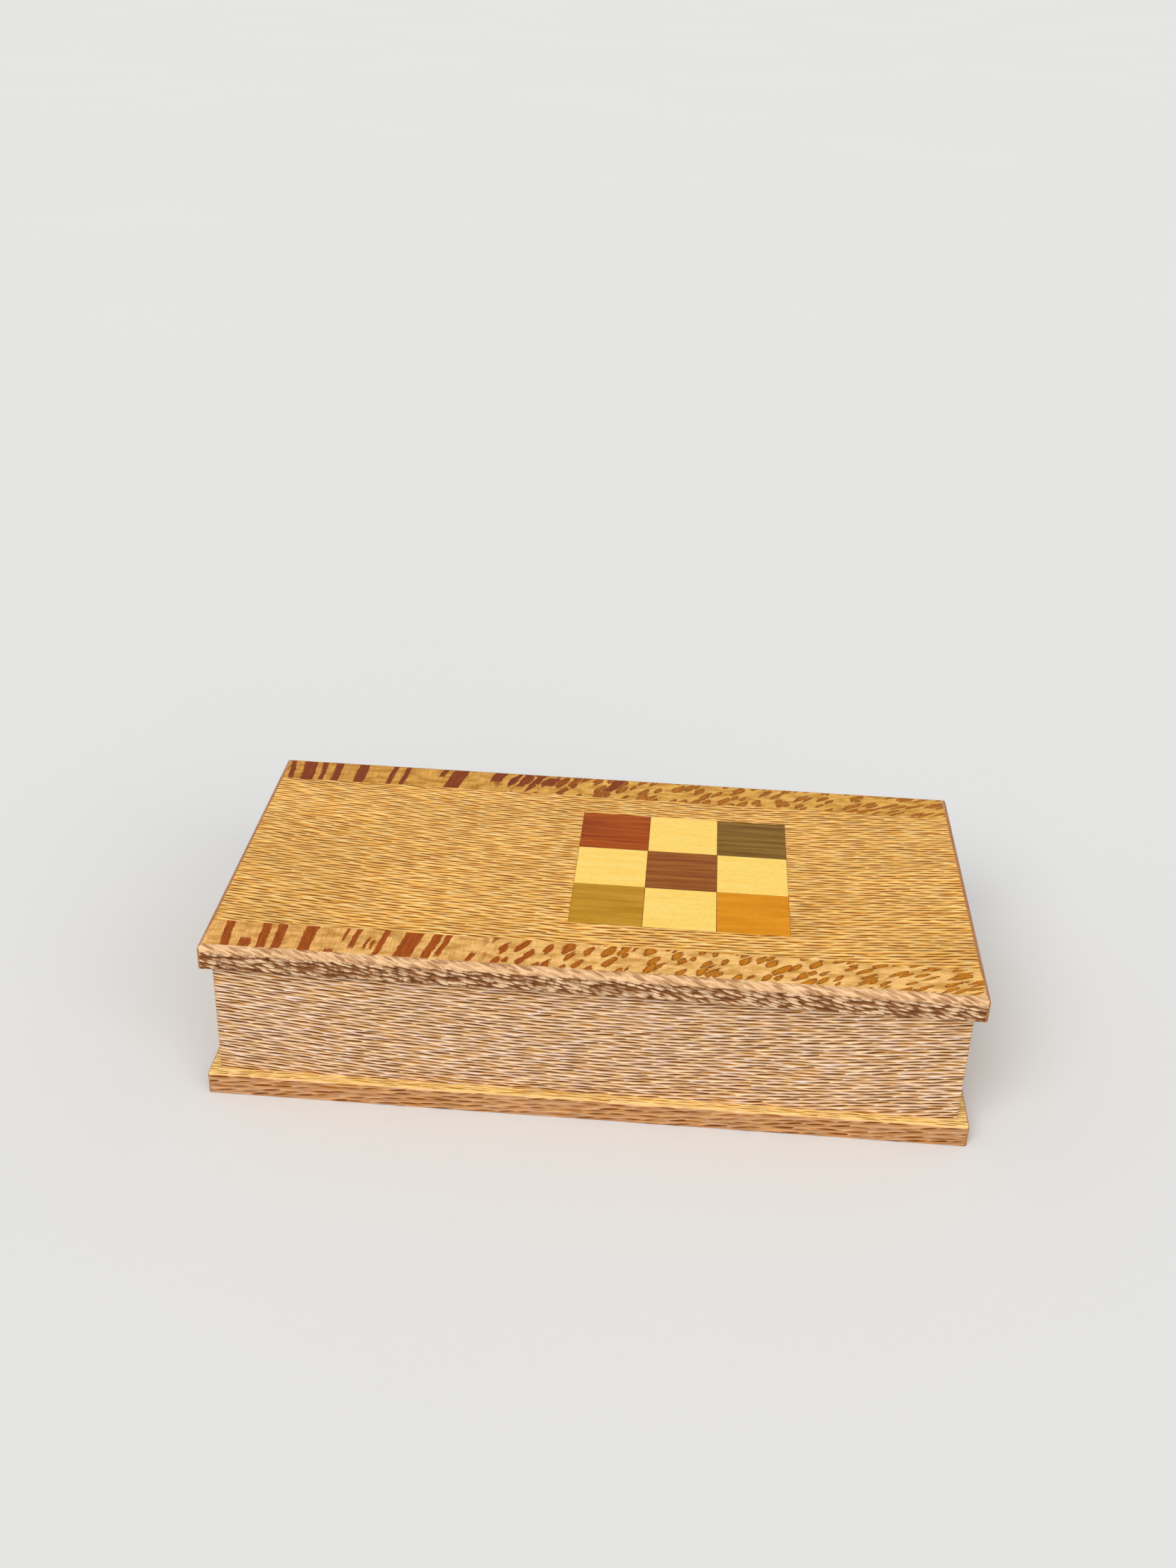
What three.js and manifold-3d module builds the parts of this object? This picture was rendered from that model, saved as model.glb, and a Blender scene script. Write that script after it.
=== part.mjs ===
import * as THREE from "three";
import { mergeVertices } from "three/addons/utils/BufferGeometryUtils.js";
import Module from "manifold-3d";

// A keepsake box of figured hardwood with a hinged, inlaid lid. Millimetres, +Z up.
// +X runs along the front, +Y from front to back. The origin is under the middle of the base.

// Body: four mitred walls
const bodyLength = 254;
const bodyWidth = 127;
const wallHeight = 43;
const wallThickness = 9.5;
const bodyCornerRound = 0.8;

// Base board
const baseThickness = 8.5;
const baseOverhang = 3.8;
const baseTopRound = 1;
const baseBottomRound = 0.5;
const baseCornerRound = 1.2;

// Lid: a centre board between two strips
const lidThickness = 9.5;
const lidOverhang = 3.8;
const lidGap = 0.3;
const lidTopRound = 2.5;
const lidBottomRound = 1.2;
const lidCornerRound = 2;
const centreBoardWidth = 101.6;

// Inlay: a square checker, flush with the lid's top
const inlaySquare = 25.4;
const inlayCount = 3;
const inlayDepth = 3;
const inlayOffset = 28.6;

// Corner splines: loose tongues across the mitres
const splineWidth = 7;
const splineThickness = 2;
const splineClearance = 0.1;
const splinePlaceShare = 0.6;

// Felt on the floor
const feltThickness = 1.5;
const feltClearance = 0.5;

// Hinges: brass butts, let in flush
const hingeLength = 25;
const hingeInset = 44.5;
const hingeSetback = 1;
const hingeLeafThickness = 1;
const hingeLeafMargin = 1.5;
const hingeCornerRound = 0.4;
const barrelRadius = 1.6;
const pinRadius = 0.8;
const pinClearance = 0.1;
const knuckleCount = 5;
const knuckleGap = 0.25;
const barrelClearance = 0.4;
const leafClearance = 0.15;

// Hinge screws: shank, head and slot as radii and widths, the tip as the length of the point
const hingeScrew = {
  shank: 1.1,
  head: 2,
  length: 5.5,
  tip: 1.6,
  sink: 0.05,
  slot: 0.5,
  slotDepth: 0.45,
};
const hingeScrewPitch = 15;

// Base screws, driven up through the base into the walls
const baseScrew = {
  shank: 1.75,
  head: 3.5,
  length: 25,
  tip: 4,
  sink: 0.4,
  slot: 0.9,
  slotDepth: 0.9,
};
const longWallScrewInset = 47;
const screwClearance = 0.1;

// Cutters run past the faces that they cut by this much
const overrun = 1;

// Fineness of the round shapes, as counts
const edgeSegments = 3;
const barrelSides = 24;
const screwSides = 16;

// Derived places
const wallTop = baseThickness + wallHeight;
const lidUnderside = wallTop + lidGap;
const halfLength = bodyLength / 2;
const halfWidth = bodyWidth / 2;
const lidLength = bodyLength + 2 * lidOverhang;
const lidWidth = bodyWidth + 2 * lidOverhang;
const hingeLeafWidth = wallThickness - hingeLeafMargin;
const hingeAxisY = halfWidth + hingeSetback;
const leafInnerEdge = -hingeSetback - hingeLeafWidth;
const leafNotchEdge = -barrelRadius - knuckleGap;
const leafScrewY = (leafInnerEdge + leafNotchEdge) / 2;
const reliefRadius = barrelRadius + barrelClearance;

// Finishes
function finish(color, roughness, metalness) {
  return new THREE.MeshStandardMaterial({ color, roughness, metalness });
}

const bodyWood = finish(0xc79a6c, 0.5, 0);
const baseWood = finish(0xcf9860, 0.5, 0);
const lidWood = finish(0xd7a565, 0.45, 0);
const stripWood = finish(0xb5773f, 0.45, 0);
const splineWood = finish(0x6b4024, 0.6, 0);
const redWood = finish(0xa24e22, 0.4, 0);
const paleWood = finish(0xfcd575, 0.4, 0);
const greyWood = finish(0x825f31, 0.4, 0);
const purpleWood = finish(0x95592d, 0.4, 0);
const oliveWood = finish(0xbf8d31, 0.4, 0);
const orangeWood = finish(0xdd9023, 0.4, 0);
const felt = finish(0x4a1f1c, 0.95, 0);
const brass = finish(0xb88a3c, 0.3, 1);

// Solids

const wasm = await Module();
wasm.setup();

// A closed geometry as a solid that can be joined and cut.
function toSolid(geometry) {
  const bare = geometry.clone();
  bare.deleteAttribute("normal");
  bare.deleteAttribute("uv");
  const merged = mergeVertices(bare);
  const vertProperties = merged.attributes.position.array;
  const triVerts = new Uint32Array(merged.index.array);
  return new wasm.Manifold(new wasm.Mesh({ numProp: 3, vertProperties, triVerts }));
}

function toGeometry(solid) {
  const mesh = solid.getMesh();
  const geometry = new THREE.BufferGeometry();
  geometry.setAttribute("position", new THREE.BufferAttribute(mesh.vertProperties, mesh.numProp));
  geometry.setIndex(new THREE.BufferAttribute(mesh.triVerts, 1));
  geometry.computeVertexNormals();
  return geometry;
}

const cutAll = (solid, cutters) => cutters.reduce((left, cutter) => left.subtract(cutter), solid);

// A box between two corners.
function block(low, high) {
  const size = new THREE.Vector3().subVectors(high, low);
  const middle = new THREE.Vector3().addVectors(low, high).multiplyScalar(0.5);
  const geometry = new THREE.BoxGeometry(size.x, size.y, size.z);
  return toSolid(geometry.translate(middle.x, middle.y, middle.z));
}

const corner = (x, y, z) => new THREE.Vector3(x, y, z);

// A rectangle centred on x = 0, from y = 0 up, with one round at its two top corners and one below.
function roundedProfile(width, height, topRound, bottomRound) {
  const half = width / 2;
  const shape = new THREE.Shape();
  shape.absarc(half - bottomRound, bottomRound, bottomRound, -Math.PI / 2, 0);
  shape.absarc(half - topRound, height - topRound, topRound, 0, Math.PI / 2);
  shape.absarc(-half + topRound, height - topRound, topRound, Math.PI / 2, Math.PI);
  shape.absarc(-half + bottomRound, bottomRound, bottomRound, Math.PI, 1.5 * Math.PI);
  return shape;
}

const xAxis = corner(1, 0, 0);
const yAxis = corner(0, 1, 0);
const zAxis = corner(0, 0, 1);

// An outline pushed through a depth that is centred on the outline's plane, then laid along the given axes.
function pushedThrough(shape, depth, across, up) {
  const options = { depth, bevelEnabled: false, curveSegments: edgeSegments };
  const geometry = new THREE.ExtrudeGeometry(shape, options);
  const along = new THREE.Vector3().crossVectors(across, up);
  geometry.translate(0, 0, -depth / 2);
  return toSolid(geometry.applyMatrix4(new THREE.Matrix4().makeBasis(across, up, along)));
}

// A board that lies on z = 0, with rounded edges above and below and rounded corners in plan.
function board(length, width, thickness, topRound, bottomRound, cornerRound) {
  const across = pushedThrough(roundedProfile(width, thickness, topRound, bottomRound), length, yAxis, zAxis);
  const along = pushedThrough(roundedProfile(length, thickness, topRound, bottomRound), width, xAxis, zAxis);
  const outline = roundedProfile(length, width, cornerRound, cornerRound);
  const plan = pushedThrough(outline, 2 * thickness, xAxis, yAxis).translate([0, -width / 2, 0]);
  return across.intersect(along).intersect(plan);
}

// A round bar along X, centred on the axis.
function barAlongX(radius, length, sides) {
  const geometry = new THREE.CylinderGeometry(radius, radius, length, sides);
  return toSolid(geometry.rotateZ(Math.PI / 2));
}

// Screws

// A shape turned about Z from its half profile, given as [radius, height] from its top down.
function turned(profile, sides) {
  const points = profile.map(([radius, height]) => new THREE.Vector2(radius, height)).reverse();
  return new THREE.LatheGeometry(points, sides).rotateX(Math.PI / 2);
}

// A countersunk wood screw: its head's face is at z = 0 and its point is down.
function screwGeometry({ shank, head, length, tip, slot, slotDepth }) {
  const headDepth = head - shank;
  const profile = [
    [0, 0],
    [head, 0],
    [shank, -headDepth],
    [shank, -length + tip],
    [0, -length],
  ];
  const halfSlotCut = head + overrun;
  const slotCut = block(corner(-halfSlotCut, -slot / 2, -slotDepth), corner(halfSlotCut, slot / 2, overrun));
  return toGeometry(toSolid(turned(profile, screwSides)).subtract(slotCut));
}

// The countersunk hole for that screw through a plate whose face is at z = 0.
function screwHole({ shank, head, sink }, plateThickness) {
  const wideRadius = head + screwClearance;
  const narrowRadius = shank + screwClearance;
  const profile = [
    [0, overrun],
    [wideRadius, overrun],
    [wideRadius, -sink],
    [narrowRadius, -sink - head + shank],
    [narrowRadius, -plateThickness - overrun],
    [0, -plateThickness - overrun],
  ];
  return toSolid(turned(profile, screwSides));
}

// The hole that the same screw leaves in the wood, from the plate's face at z = 0 down.
function pilotHole({ shank, length, sink }) {
  const radius = shank + screwClearance;
  const depth = length + sink + screwClearance;
  const profile = [
    [0, 0],
    [radius, 0],
    [radius, -depth],
    [0, -depth],
  ];
  return toSolid(turned(profile, screwSides));
}

const upsideDown = (solid) => solid.rotate([0, 180, 0]);

// Scene graph

const box = new THREE.Group();
const lid = new THREE.Group();
lid.position.z = lidUnderside;
const keepsakeBox = new THREE.Group();
keepsakeBox.add(box, lid);

function addMesh(group, name, geometry, material) {
  const mesh = new THREE.Mesh(geometry, material.clone());
  mesh.name = name;
  group.add(mesh);
  return mesh;
}

// Each hinge's middle is set in from the end of the body.
const hingeX = halfLength - hingeInset;
const hingeSides = [
  { side: "left", middle: -hingeX },
  { side: "right", middle: hingeX },
];
const hingeScrewXs = [-hingeScrewPitch / 2, hingeScrewPitch / 2];
const halfBed = hingeLength / 2 + leafClearance;
const bedInnerY = hingeAxisY + leafInnerEdge - leafClearance;
const outsideY = lidWidth / 2 + overrun;

// Base screws stand under the middle of each wall's thickness.
const longWallScrewX = halfLength - longWallScrewInset;
const wallMiddleX = halfLength - wallThickness / 2;
const wallMiddleY = halfWidth - wallThickness / 2;
const baseScrewPlaces = [
  [-longWallScrewX, -wallMiddleY],
  [longWallScrewX, -wallMiddleY],
  [wallMiddleX, 0],
  [longWallScrewX, wallMiddleY],
  [-longWallScrewX, wallMiddleY],
  [-wallMiddleX, 0],
];

// Base board and its screws
const baseLength = bodyLength + 2 * baseOverhang;
const baseWidth = bodyWidth + 2 * baseOverhang;
const baseBlank = board(baseLength, baseWidth, baseThickness, baseTopRound, baseBottomRound, baseCornerRound);
const baseHole = upsideDown(screwHole(baseScrew, baseThickness));
const baseHoles = baseScrewPlaces.map(([x, y]) => baseHole.translate([x, y, 0]));
addMesh(box, "base_board", toGeometry(cutAll(baseBlank, baseHoles)), baseWood);

baseScrewPlaces.forEach(([x, y], index) => {
  const screw = addMesh(box, `base_screw_${index + 1}`, screwGeometry(baseScrew), brass);
  screw.rotation.y = Math.PI;
  screw.position.set(x, y, baseScrew.sink);
});

// A spline's outline across the mitre at a corner of the body, grown by a clearance.
function splineSolid(signX, signY, clearance, height) {
  const width = splineWidth + 2 * clearance;
  const thickness = splineThickness + 2 * clearance;
  const inset = splinePlaceShare * wallThickness;
  const bar = new THREE.BoxGeometry(width, thickness, height);
  bar.rotateZ((-signX * signY * Math.PI) / 4);
  bar.translate(signX * (halfLength - inset), signY * (halfWidth - inset), baseThickness + wallHeight / 2);
  return bar;
}

const cornerPlaces = [
  { name: "front_left", signX: -1, signY: -1 },
  { name: "front_right", signX: 1, signY: -1 },
  { name: "back_left", signX: -1, signY: 1 },
  { name: "back_right", signX: 1, signY: 1 },
];
const splineSlots = cornerPlaces.map(({ signX, signY }) =>
  toSolid(splineSolid(signX, signY, splineClearance, wallHeight + 2 * overrun)),
);
cornerPlaces.forEach(({ name, signX, signY }) => {
  addMesh(box, `corner_spline_${name}`, splineSolid(signX, signY, 0, wallHeight), splineWood);
});

// A mitred wall of the given outer length, with its outer face towards -Y before it is turned about Z.
function wallBlank(outerLength, outerFace, turn) {
  const half = outerLength / 2;
  const round = bodyCornerRound;
  const shape = new THREE.Shape();
  shape.absarc(-half + round, -outerFace + round, round, 1.25 * Math.PI, 1.5 * Math.PI);
  shape.absarc(half - round, -outerFace + round, round, 1.5 * Math.PI, 1.75 * Math.PI);
  shape.lineTo(half - wallThickness, -outerFace + wallThickness);
  shape.lineTo(-half + wallThickness, -outerFace + wallThickness);
  const options = { depth: wallHeight, bevelEnabled: false, curveSegments: edgeSegments };
  const geometry = new THREE.ExtrudeGeometry(shape, options);
  return toSolid(geometry.rotateZ(turn).translate(0, 0, baseThickness));
}

const wallScrewHole = upsideDown(pilotHole(baseScrew));
const wallScrewHoles = baseScrewPlaces.map(([x, y]) => wallScrewHole.translate([x, y, 0]));

// Let into the top of the back wall for each box leaf: the leaf's bed, a cove for the barrel, screw holes
function wallHingeCuts(middle) {
  const bed = block(
    corner(middle - halfBed, bedInnerY, wallTop - hingeLeafThickness),
    corner(middle + halfBed, halfWidth + overrun, wallTop + overrun),
  );
  const cove = barAlongX(reliefRadius, 2 * halfBed, barrelSides);
  const holes = hingeScrewXs.map((x) =>
    pilotHole(hingeScrew).translate([middle + x, hingeAxisY + leafScrewY, wallTop]),
  );
  return [bed, cove.translate([middle, hingeAxisY, wallTop + lidGap / 2]), ...holes];
}

const backCuts = hingeSides.flatMap(({ middle }) => wallHingeCuts(middle));
const walls = [
  { name: "front_wall", length: bodyLength, face: halfWidth, turn: 0, cuts: [] },
  { name: "right_wall", length: bodyWidth, face: halfLength, turn: Math.PI / 2, cuts: [] },
  { name: "back_wall", length: bodyLength, face: halfWidth, turn: Math.PI, cuts: backCuts },
  { name: "left_wall", length: bodyWidth, face: halfLength, turn: 1.5 * Math.PI, cuts: [] },
];
walls.forEach(({ name, length, face, turn, cuts }) => {
  const solid = cutAll(wallBlank(length, face, turn), [...splineSlots, ...wallScrewHoles, ...cuts]);
  addMesh(box, name, toGeometry(solid), bodyWood);
});

// Felt on the floor of the box
const insideLength = bodyLength - 2 * wallThickness;
const insideWidth = bodyWidth - 2 * wallThickness;
const feltLength = insideLength - 2 * feltClearance;
const feltWidth = insideWidth - 2 * feltClearance;
const feltGeometry = new THREE.BoxGeometry(feltLength, feltWidth, feltThickness);
const feltSheet = addMesh(box, "floor_felt", feltGeometry, felt);
feltSheet.position.z = baseThickness + feltThickness / 2;

// Lid boards, each a slice of one rounded panel, in the lid group's frame: z = 0 is the lid's underside
const lidBlank = board(lidLength, lidWidth, lidThickness, lidTopRound, lidBottomRound, lidCornerRound);

function lidSlice(fromY, toY) {
  const halfSlice = lidLength / 2 + overrun;
  const above = lidThickness + overrun;
  return lidBlank.intersect(block(corner(-halfSlice, fromY, -overrun), corner(halfSlice, toY, above)));
}

const checkerHalf = (inlayCount * inlaySquare) / 2;
const checkerBed = block(
  corner(inlayOffset - checkerHalf, -checkerHalf, lidThickness - inlayDepth),
  corner(inlayOffset + checkerHalf, checkerHalf, lidThickness + overrun),
);

// Let into the underside of the lid for each lid leaf: its bed, a notch for the barrel, screw holes
function lidHingeCuts(middle) {
  const bed = block(
    corner(middle - halfBed, bedInnerY, -overrun),
    corner(middle + halfBed, outsideY, hingeLeafThickness),
  );
  const notch = block(
    corner(middle - halfBed, hingeAxisY - reliefRadius, -overrun),
    corner(middle + halfBed, outsideY, reliefRadius - lidGap / 2),
  );
  const holes = hingeScrewXs.map((x) =>
    upsideDown(pilotHole(hingeScrew)).translate([middle + x, hingeAxisY + leafScrewY, 0]),
  );
  return [bed, notch, ...holes];
}

const jointY = centreBoardWidth / 2;
const lidCuts = [checkerBed, ...hingeSides.flatMap(({ middle }) => lidHingeCuts(middle))];
const lidBoards = [
  { name: "lid_front_strip", fromY: -outsideY, toY: -jointY, wood: stripWood },
  { name: "lid_centre_board", fromY: -jointY, toY: jointY, wood: lidWood },
  { name: "lid_back_strip", fromY: jointY, toY: outsideY, wood: stripWood },
];
lidBoards.forEach(({ name, fromY, toY, wood }) => {
  addMesh(lid, name, toGeometry(cutAll(lidSlice(fromY, toY), lidCuts)), wood);
});

// Inlay squares, named and coloured row by row from the front, left to right
const inlayRows = [
  { front_left: oliveWood, front_middle: paleWood, front_right: orangeWood },
  { middle_left: paleWood, centre: purpleWood, middle_right: paleWood },
  { back_left: redWood, back_middle: paleWood, back_right: greyWood },
];
inlayRows.forEach((row, rowIndex) => {
  Object.entries(row).forEach(([place, wood], columnIndex) => {
    const geometry = new THREE.BoxGeometry(inlaySquare, inlaySquare, inlayDepth);
    const square = addMesh(lid, `inlay_${place}`, geometry, wood);
    square.position.set(
      inlayOffset - checkerHalf + (columnIndex + 0.5) * inlaySquare,
      -checkerHalf + (rowIndex + 0.5) * inlaySquare,
      lidThickness - inlayDepth / 2,
    );
  });
});

// Hinges. A hinge's own frame is on its pin: the box leaf lies below z = 0 and the lid leaf above it.

const knuckleWidth = (hingeLength - (knuckleCount - 1) * knuckleGap) / knuckleCount;

// The knuckles of one leaf, every second one from the given start, as their low ends in X
function knuckleStarts(first) {
  const starts = [];
  for (let index = first; index < knuckleCount; index += 2) {
    starts.push(-hingeLength / 2 + index * (knuckleWidth + knuckleGap));
  }
  return starts;
}

// A leaf with its plate below the pin: plate, own knuckles, notches for the other leaf's, bore, screw holes
function leafGeometry(firstOwn) {
  const plateTop = -lidGap / 2;
  const halfLeaf = hingeLength / 2;
  const roundX = halfLeaf - hingeCornerRound;
  const roundY = leafInnerEdge + hingeCornerRound;
  const plateOutline = new THREE.Shape();
  plateOutline.absarc(-roundX, roundY, hingeCornerRound, Math.PI, 1.5 * Math.PI);
  plateOutline.absarc(roundX, roundY, hingeCornerRound, 1.5 * Math.PI, 2 * Math.PI);
  plateOutline.lineTo(halfLeaf, 0);
  plateOutline.lineTo(-halfLeaf, 0);
  const plate = pushedThrough(plateOutline, hingeLeafThickness, xAxis, yAxis);
  const notches = knuckleStarts(1 - firstOwn).map((start) =>
    block(
      corner(start - knuckleGap, leafNotchEdge, plateTop - hingeLeafThickness - overrun),
      corner(start + knuckleWidth + knuckleGap, overrun, plateTop + overrun),
    ),
  );
  const notched = cutAll(plate.translate([0, 0, plateTop - hingeLeafThickness / 2]), notches);
  const barrels = knuckleStarts(firstOwn).map((start) =>
    barAlongX(barrelRadius, knuckleWidth, barrelSides).translate([start + knuckleWidth / 2, 0, 0]),
  );
  const joined = barrels.reduce((left, barrel) => left.add(barrel), notched);
  const bore = barAlongX(pinRadius + pinClearance, hingeLength + 2 * overrun, barrelSides);
  const holes = hingeScrewXs.map((x) =>
    screwHole(hingeScrew, hingeLeafThickness).translate([x, leafScrewY, plateTop]),
  );
  return toGeometry(cutAll(joined, [bore, ...holes]));
}

// The leaf's screws, with their heads in its face
function addLeafScrews(group, prefix) {
  hingeScrewXs.forEach((x, index) => {
    const screw = addMesh(group, `${prefix}_screw_${index + 1}`, screwGeometry(hingeScrew), brass);
    screw.position.set(x, leafScrewY, -lidGap / 2 - hingeScrew.sink);
  });
}

hingeSides.forEach(({ side, middle }) => {
  const boxHalf = new THREE.Group();
  boxHalf.position.set(middle, hingeAxisY, wallTop + lidGap / 2);
  box.add(boxHalf);
  addMesh(boxHalf, `hinge_${side}_box_leaf`, leafGeometry(0), brass);
  const pin = new THREE.CylinderGeometry(pinRadius, pinRadius, hingeLength, barrelSides);
  addMesh(boxHalf, `hinge_${side}_pin`, pin.rotateZ(Math.PI / 2), brass);
  addLeafScrews(boxHalf, `hinge_${side}_box`);

  const lidHalf = new THREE.Group();
  lidHalf.position.set(middle, hingeAxisY, -lidGap / 2);
  lidHalf.rotation.y = Math.PI;
  lid.add(lidHalf);
  addMesh(lidHalf, `hinge_${side}_lid_leaf`, leafGeometry(1), brass);
  addLeafScrews(lidHalf, `hinge_${side}_lid`);
});

export default keepsakeBox;
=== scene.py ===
"""A hinged keepsake box of ray-flecked wood with an inlaid lid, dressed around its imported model."""

import logging
import math
from collections.abc import Callable, Sequence
from dataclasses import dataclass, field, replace
from enum import Enum

import bmesh
import bpy
from mathutils import Matrix, Vector, noise


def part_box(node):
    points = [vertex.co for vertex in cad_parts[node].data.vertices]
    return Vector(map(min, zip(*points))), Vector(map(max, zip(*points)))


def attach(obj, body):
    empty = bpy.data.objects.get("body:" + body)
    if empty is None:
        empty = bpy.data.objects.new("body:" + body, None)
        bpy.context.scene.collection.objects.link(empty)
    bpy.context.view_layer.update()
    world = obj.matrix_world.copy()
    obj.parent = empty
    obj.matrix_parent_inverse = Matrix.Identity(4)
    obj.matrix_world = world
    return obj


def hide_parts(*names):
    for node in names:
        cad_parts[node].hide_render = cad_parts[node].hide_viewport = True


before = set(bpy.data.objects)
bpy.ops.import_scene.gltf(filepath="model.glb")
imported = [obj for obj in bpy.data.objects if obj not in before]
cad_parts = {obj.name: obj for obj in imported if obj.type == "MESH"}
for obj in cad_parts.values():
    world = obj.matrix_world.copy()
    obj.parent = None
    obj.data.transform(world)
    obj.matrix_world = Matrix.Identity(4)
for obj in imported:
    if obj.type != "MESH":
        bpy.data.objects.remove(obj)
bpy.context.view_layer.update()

log = logging.getLogger("keepsake_box")

Shape = bmesh.types.BMesh
Edge = bmesh.types.BMEdge
Material = bpy.types.Material
Triple = tuple[float, float, float]
Shades = tuple[Triple, Triple]

MM = 0.001
SHARP = math.radians(32)

# How near counts as the same place, from loose to fine
NEAR = 0.01 * MM
TOUCH = 0.001 * MM
WELD = 0.0005 * MM
HAIR = 0.0001 * MM

# The share of an edge's length that has to lie along an axis for the edge to run along it
STRAIGHT = 0.999

# Finishes: the shine of oiled wood, the depth of its grain and where its end grain starts to show,
# with its dark tone partly painted shade
OILED = {"Specular IOR Level": 0.1}
GRAIN_DEPTH = 0.03 * MM
END_FACING = (0.12, 0.42)

CORNERS = ("front_left", "front_right", "back_left", "back_right")


# Shapes


class Axis(Enum):
    """A direction of the shared frame, as its place in a vector."""

    X = 0
    Y = 1
    Z = 2

    def step(self, length: float) -> Vector:
        """A vector of a given length along this direction."""
        return Vector([length if self.value == place else 0 for place in range(3)])


class Cut(Enum):
    """What a boolean does with its tools."""

    AWAY = "DIFFERENCE"
    COMMON = "INTERSECT"
    JOIN = "UNION"


def block(low: Vector, high: Vector) -> Shape:
    """A box between two corners.

    Args:
        low: The lowest corner, in metres.
        high: The highest corner.

    Returns:
        The box as a bmesh.
    """
    shape = bmesh.new()
    place = Matrix.Translation((low + high) / 2) @ Matrix.Diagonal((*(high - low), 1))
    bmesh.ops.create_cube(shape, size=1, matrix=place)
    return shape


def bar_along_x(radius: float, length: float, middle: Vector, sides: int = 48) -> Shape:
    """A round bar along X.

    Args:
        radius: The bar's radius.
        length: Its length.
        middle: The middle of the bar.
        sides: How many flats go round it.

    Returns:
        The bar as a bmesh.
    """
    shape = bmesh.new()
    place = Matrix.Translation(middle) @ Matrix.Rotation(math.pi / 2, 4, "Y")
    bmesh.ops.create_cone(
        shape, cap_ends=True, segments=sides, radius1=radius, radius2=radius, depth=length, matrix=place
    )
    return shape


def edges_along(shape: Shape, axis: Axis, keep: Callable[[Vector], bool]) -> list[Edge]:
    """The edges that run along an axis and whose middle passes a test.

    Args:
        shape: The bmesh to look in.
        axis: The direction that the edges run in.
        keep: Says of an edge's middle whether the edge counts.

    Returns:
        The edges found.
    """
    found = []
    for edge in shape.edges:
        first, last = (vert.co for vert in edge.verts)
        run = last - first
        if abs(run[axis.value]) > STRAIGHT * run.length and keep((first + last) / 2):
            found.append(edge)
    return found


def edges_at_top(shape: Shape, height: float) -> list[Edge]:
    """The edges that lie in a shape's top face, at a given height."""
    return [edge for edge in shape.edges if min(vert.co.z for vert in edge.verts) > height - NEAR]


def edges_across_x(shape: Shape) -> list[Edge]:
    """The edges that lie square to X, such as the rims of a bar."""
    return [edge for edge in shape.edges if abs(edge.verts[0].co.x - edge.verts[1].co.x) < NEAR]


def round_over(shape: Shape, edges: list[Edge], radius: float, segments: int) -> None:
    """Round some edges of a shape over.

    Args:
        shape: The bmesh to change.
        edges: Its edges to round.
        radius: The radius of the round.
        segments: How many flats make the round.
    """
    bmesh.ops.bevel(
        shape,
        geom=edges,
        offset=radius,
        offset_type="OFFSET",
        segments=segments,
        profile=0.5,
        affect="EDGES",
        material=-1,
        clamp_overlap=True,
    )


def holder(name: str, shape: Shape) -> bpy.types.Object:
    """Put a shape in an object at the origin and free the bmesh.

    Args:
        name: The object's name.
        shape: The bmesh to put in it.

    Returns:
        The new object.
    """
    mesh = bpy.data.meshes.new(name)
    shape.to_mesh(mesh)
    shape.free()
    thing = bpy.data.objects.new(name, mesh)
    bpy.context.scene.collection.objects.link(thing)
    return thing


def carved(shape: Shape, cut: Cut, tools: Sequence[Shape]) -> Shape:
    """Cut or join a shape with others.

    Args:
        shape: The shape to work on. It is used up.
        cut: What to do with the tools.
        tools: The other shapes, used up too.

    Returns:
        The result as a new bmesh.
    """
    work = holder("work", shape)
    helpers = [holder("tool", tool) for tool in tools]
    for helper in helpers:
        modifier = work.modifiers.new("cut", "BOOLEAN")
        modifier.operation = cut.value
        modifier.solver = "MANIFOLD"
        modifier.object = helper
    result = bmesh.new()
    result.from_object(work, bpy.context.evaluated_depsgraph_get())
    for spare in [work, *helpers]:
        mesh = spare.data
        bpy.data.objects.remove(spare)
        bpy.data.meshes.remove(mesh)
    bmesh.ops.remove_doubles(result, verts=result.verts, dist=WELD)
    return result


def panel(low: Vector, high: Vector, top_round: float, bottom_round: float, corner_round: float) -> Shape:
    """A board with rounded edges above and below and rounded corners in plan.

    Args:
        low: The board's lowest corner.
        high: Its highest corner.
        top_round: The radius all round the top.
        bottom_round: The radius all round the bottom.
        corner_round: The radius of the upright corners.

    Returns:
        The board as a bmesh.
    """
    middle_z = (low.z + high.z) / 2
    profiles = []
    for axis in (Axis.X, Axis.Y):
        profile = block(low - axis.step(MM), high + axis.step(MM))
        round_over(profile, edges_along(profile, axis, lambda place: place.z > middle_z), top_round, 10)
        round_over(profile, edges_along(profile, axis, lambda place: place.z < middle_z), bottom_round, 5)
        profiles.append(profile)
    plan = block(low - Axis.Z.step(MM), high + Axis.Z.step(MM))
    round_over(plan, edges_along(plan, Axis.Z, lambda place: True), corner_round, 6)
    return carved(profiles[0], Cut.COMMON, [profiles[1], plan])


def sliced(shape: Shape, point: Vector, normal: Vector) -> None:
    """Cut a shape off at a plane, drop the side that the normal points to and close the cut.

    Args:
        shape: The bmesh to change.
        point: A point on the plane.
        normal: The plane's normal, towards what goes.
    """
    parts = [*shape.verts, *shape.edges, *shape.faces]
    made = bmesh.ops.bisect_plane(
        shape, geom=parts, dist=HAIR, plane_co=point, plane_no=normal, clear_outer=True
    )
    rim = [part for part in made["geom_cut"] if isinstance(part, Edge)]
    bmesh.ops.contextual_create(shape, geom=rim)


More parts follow.
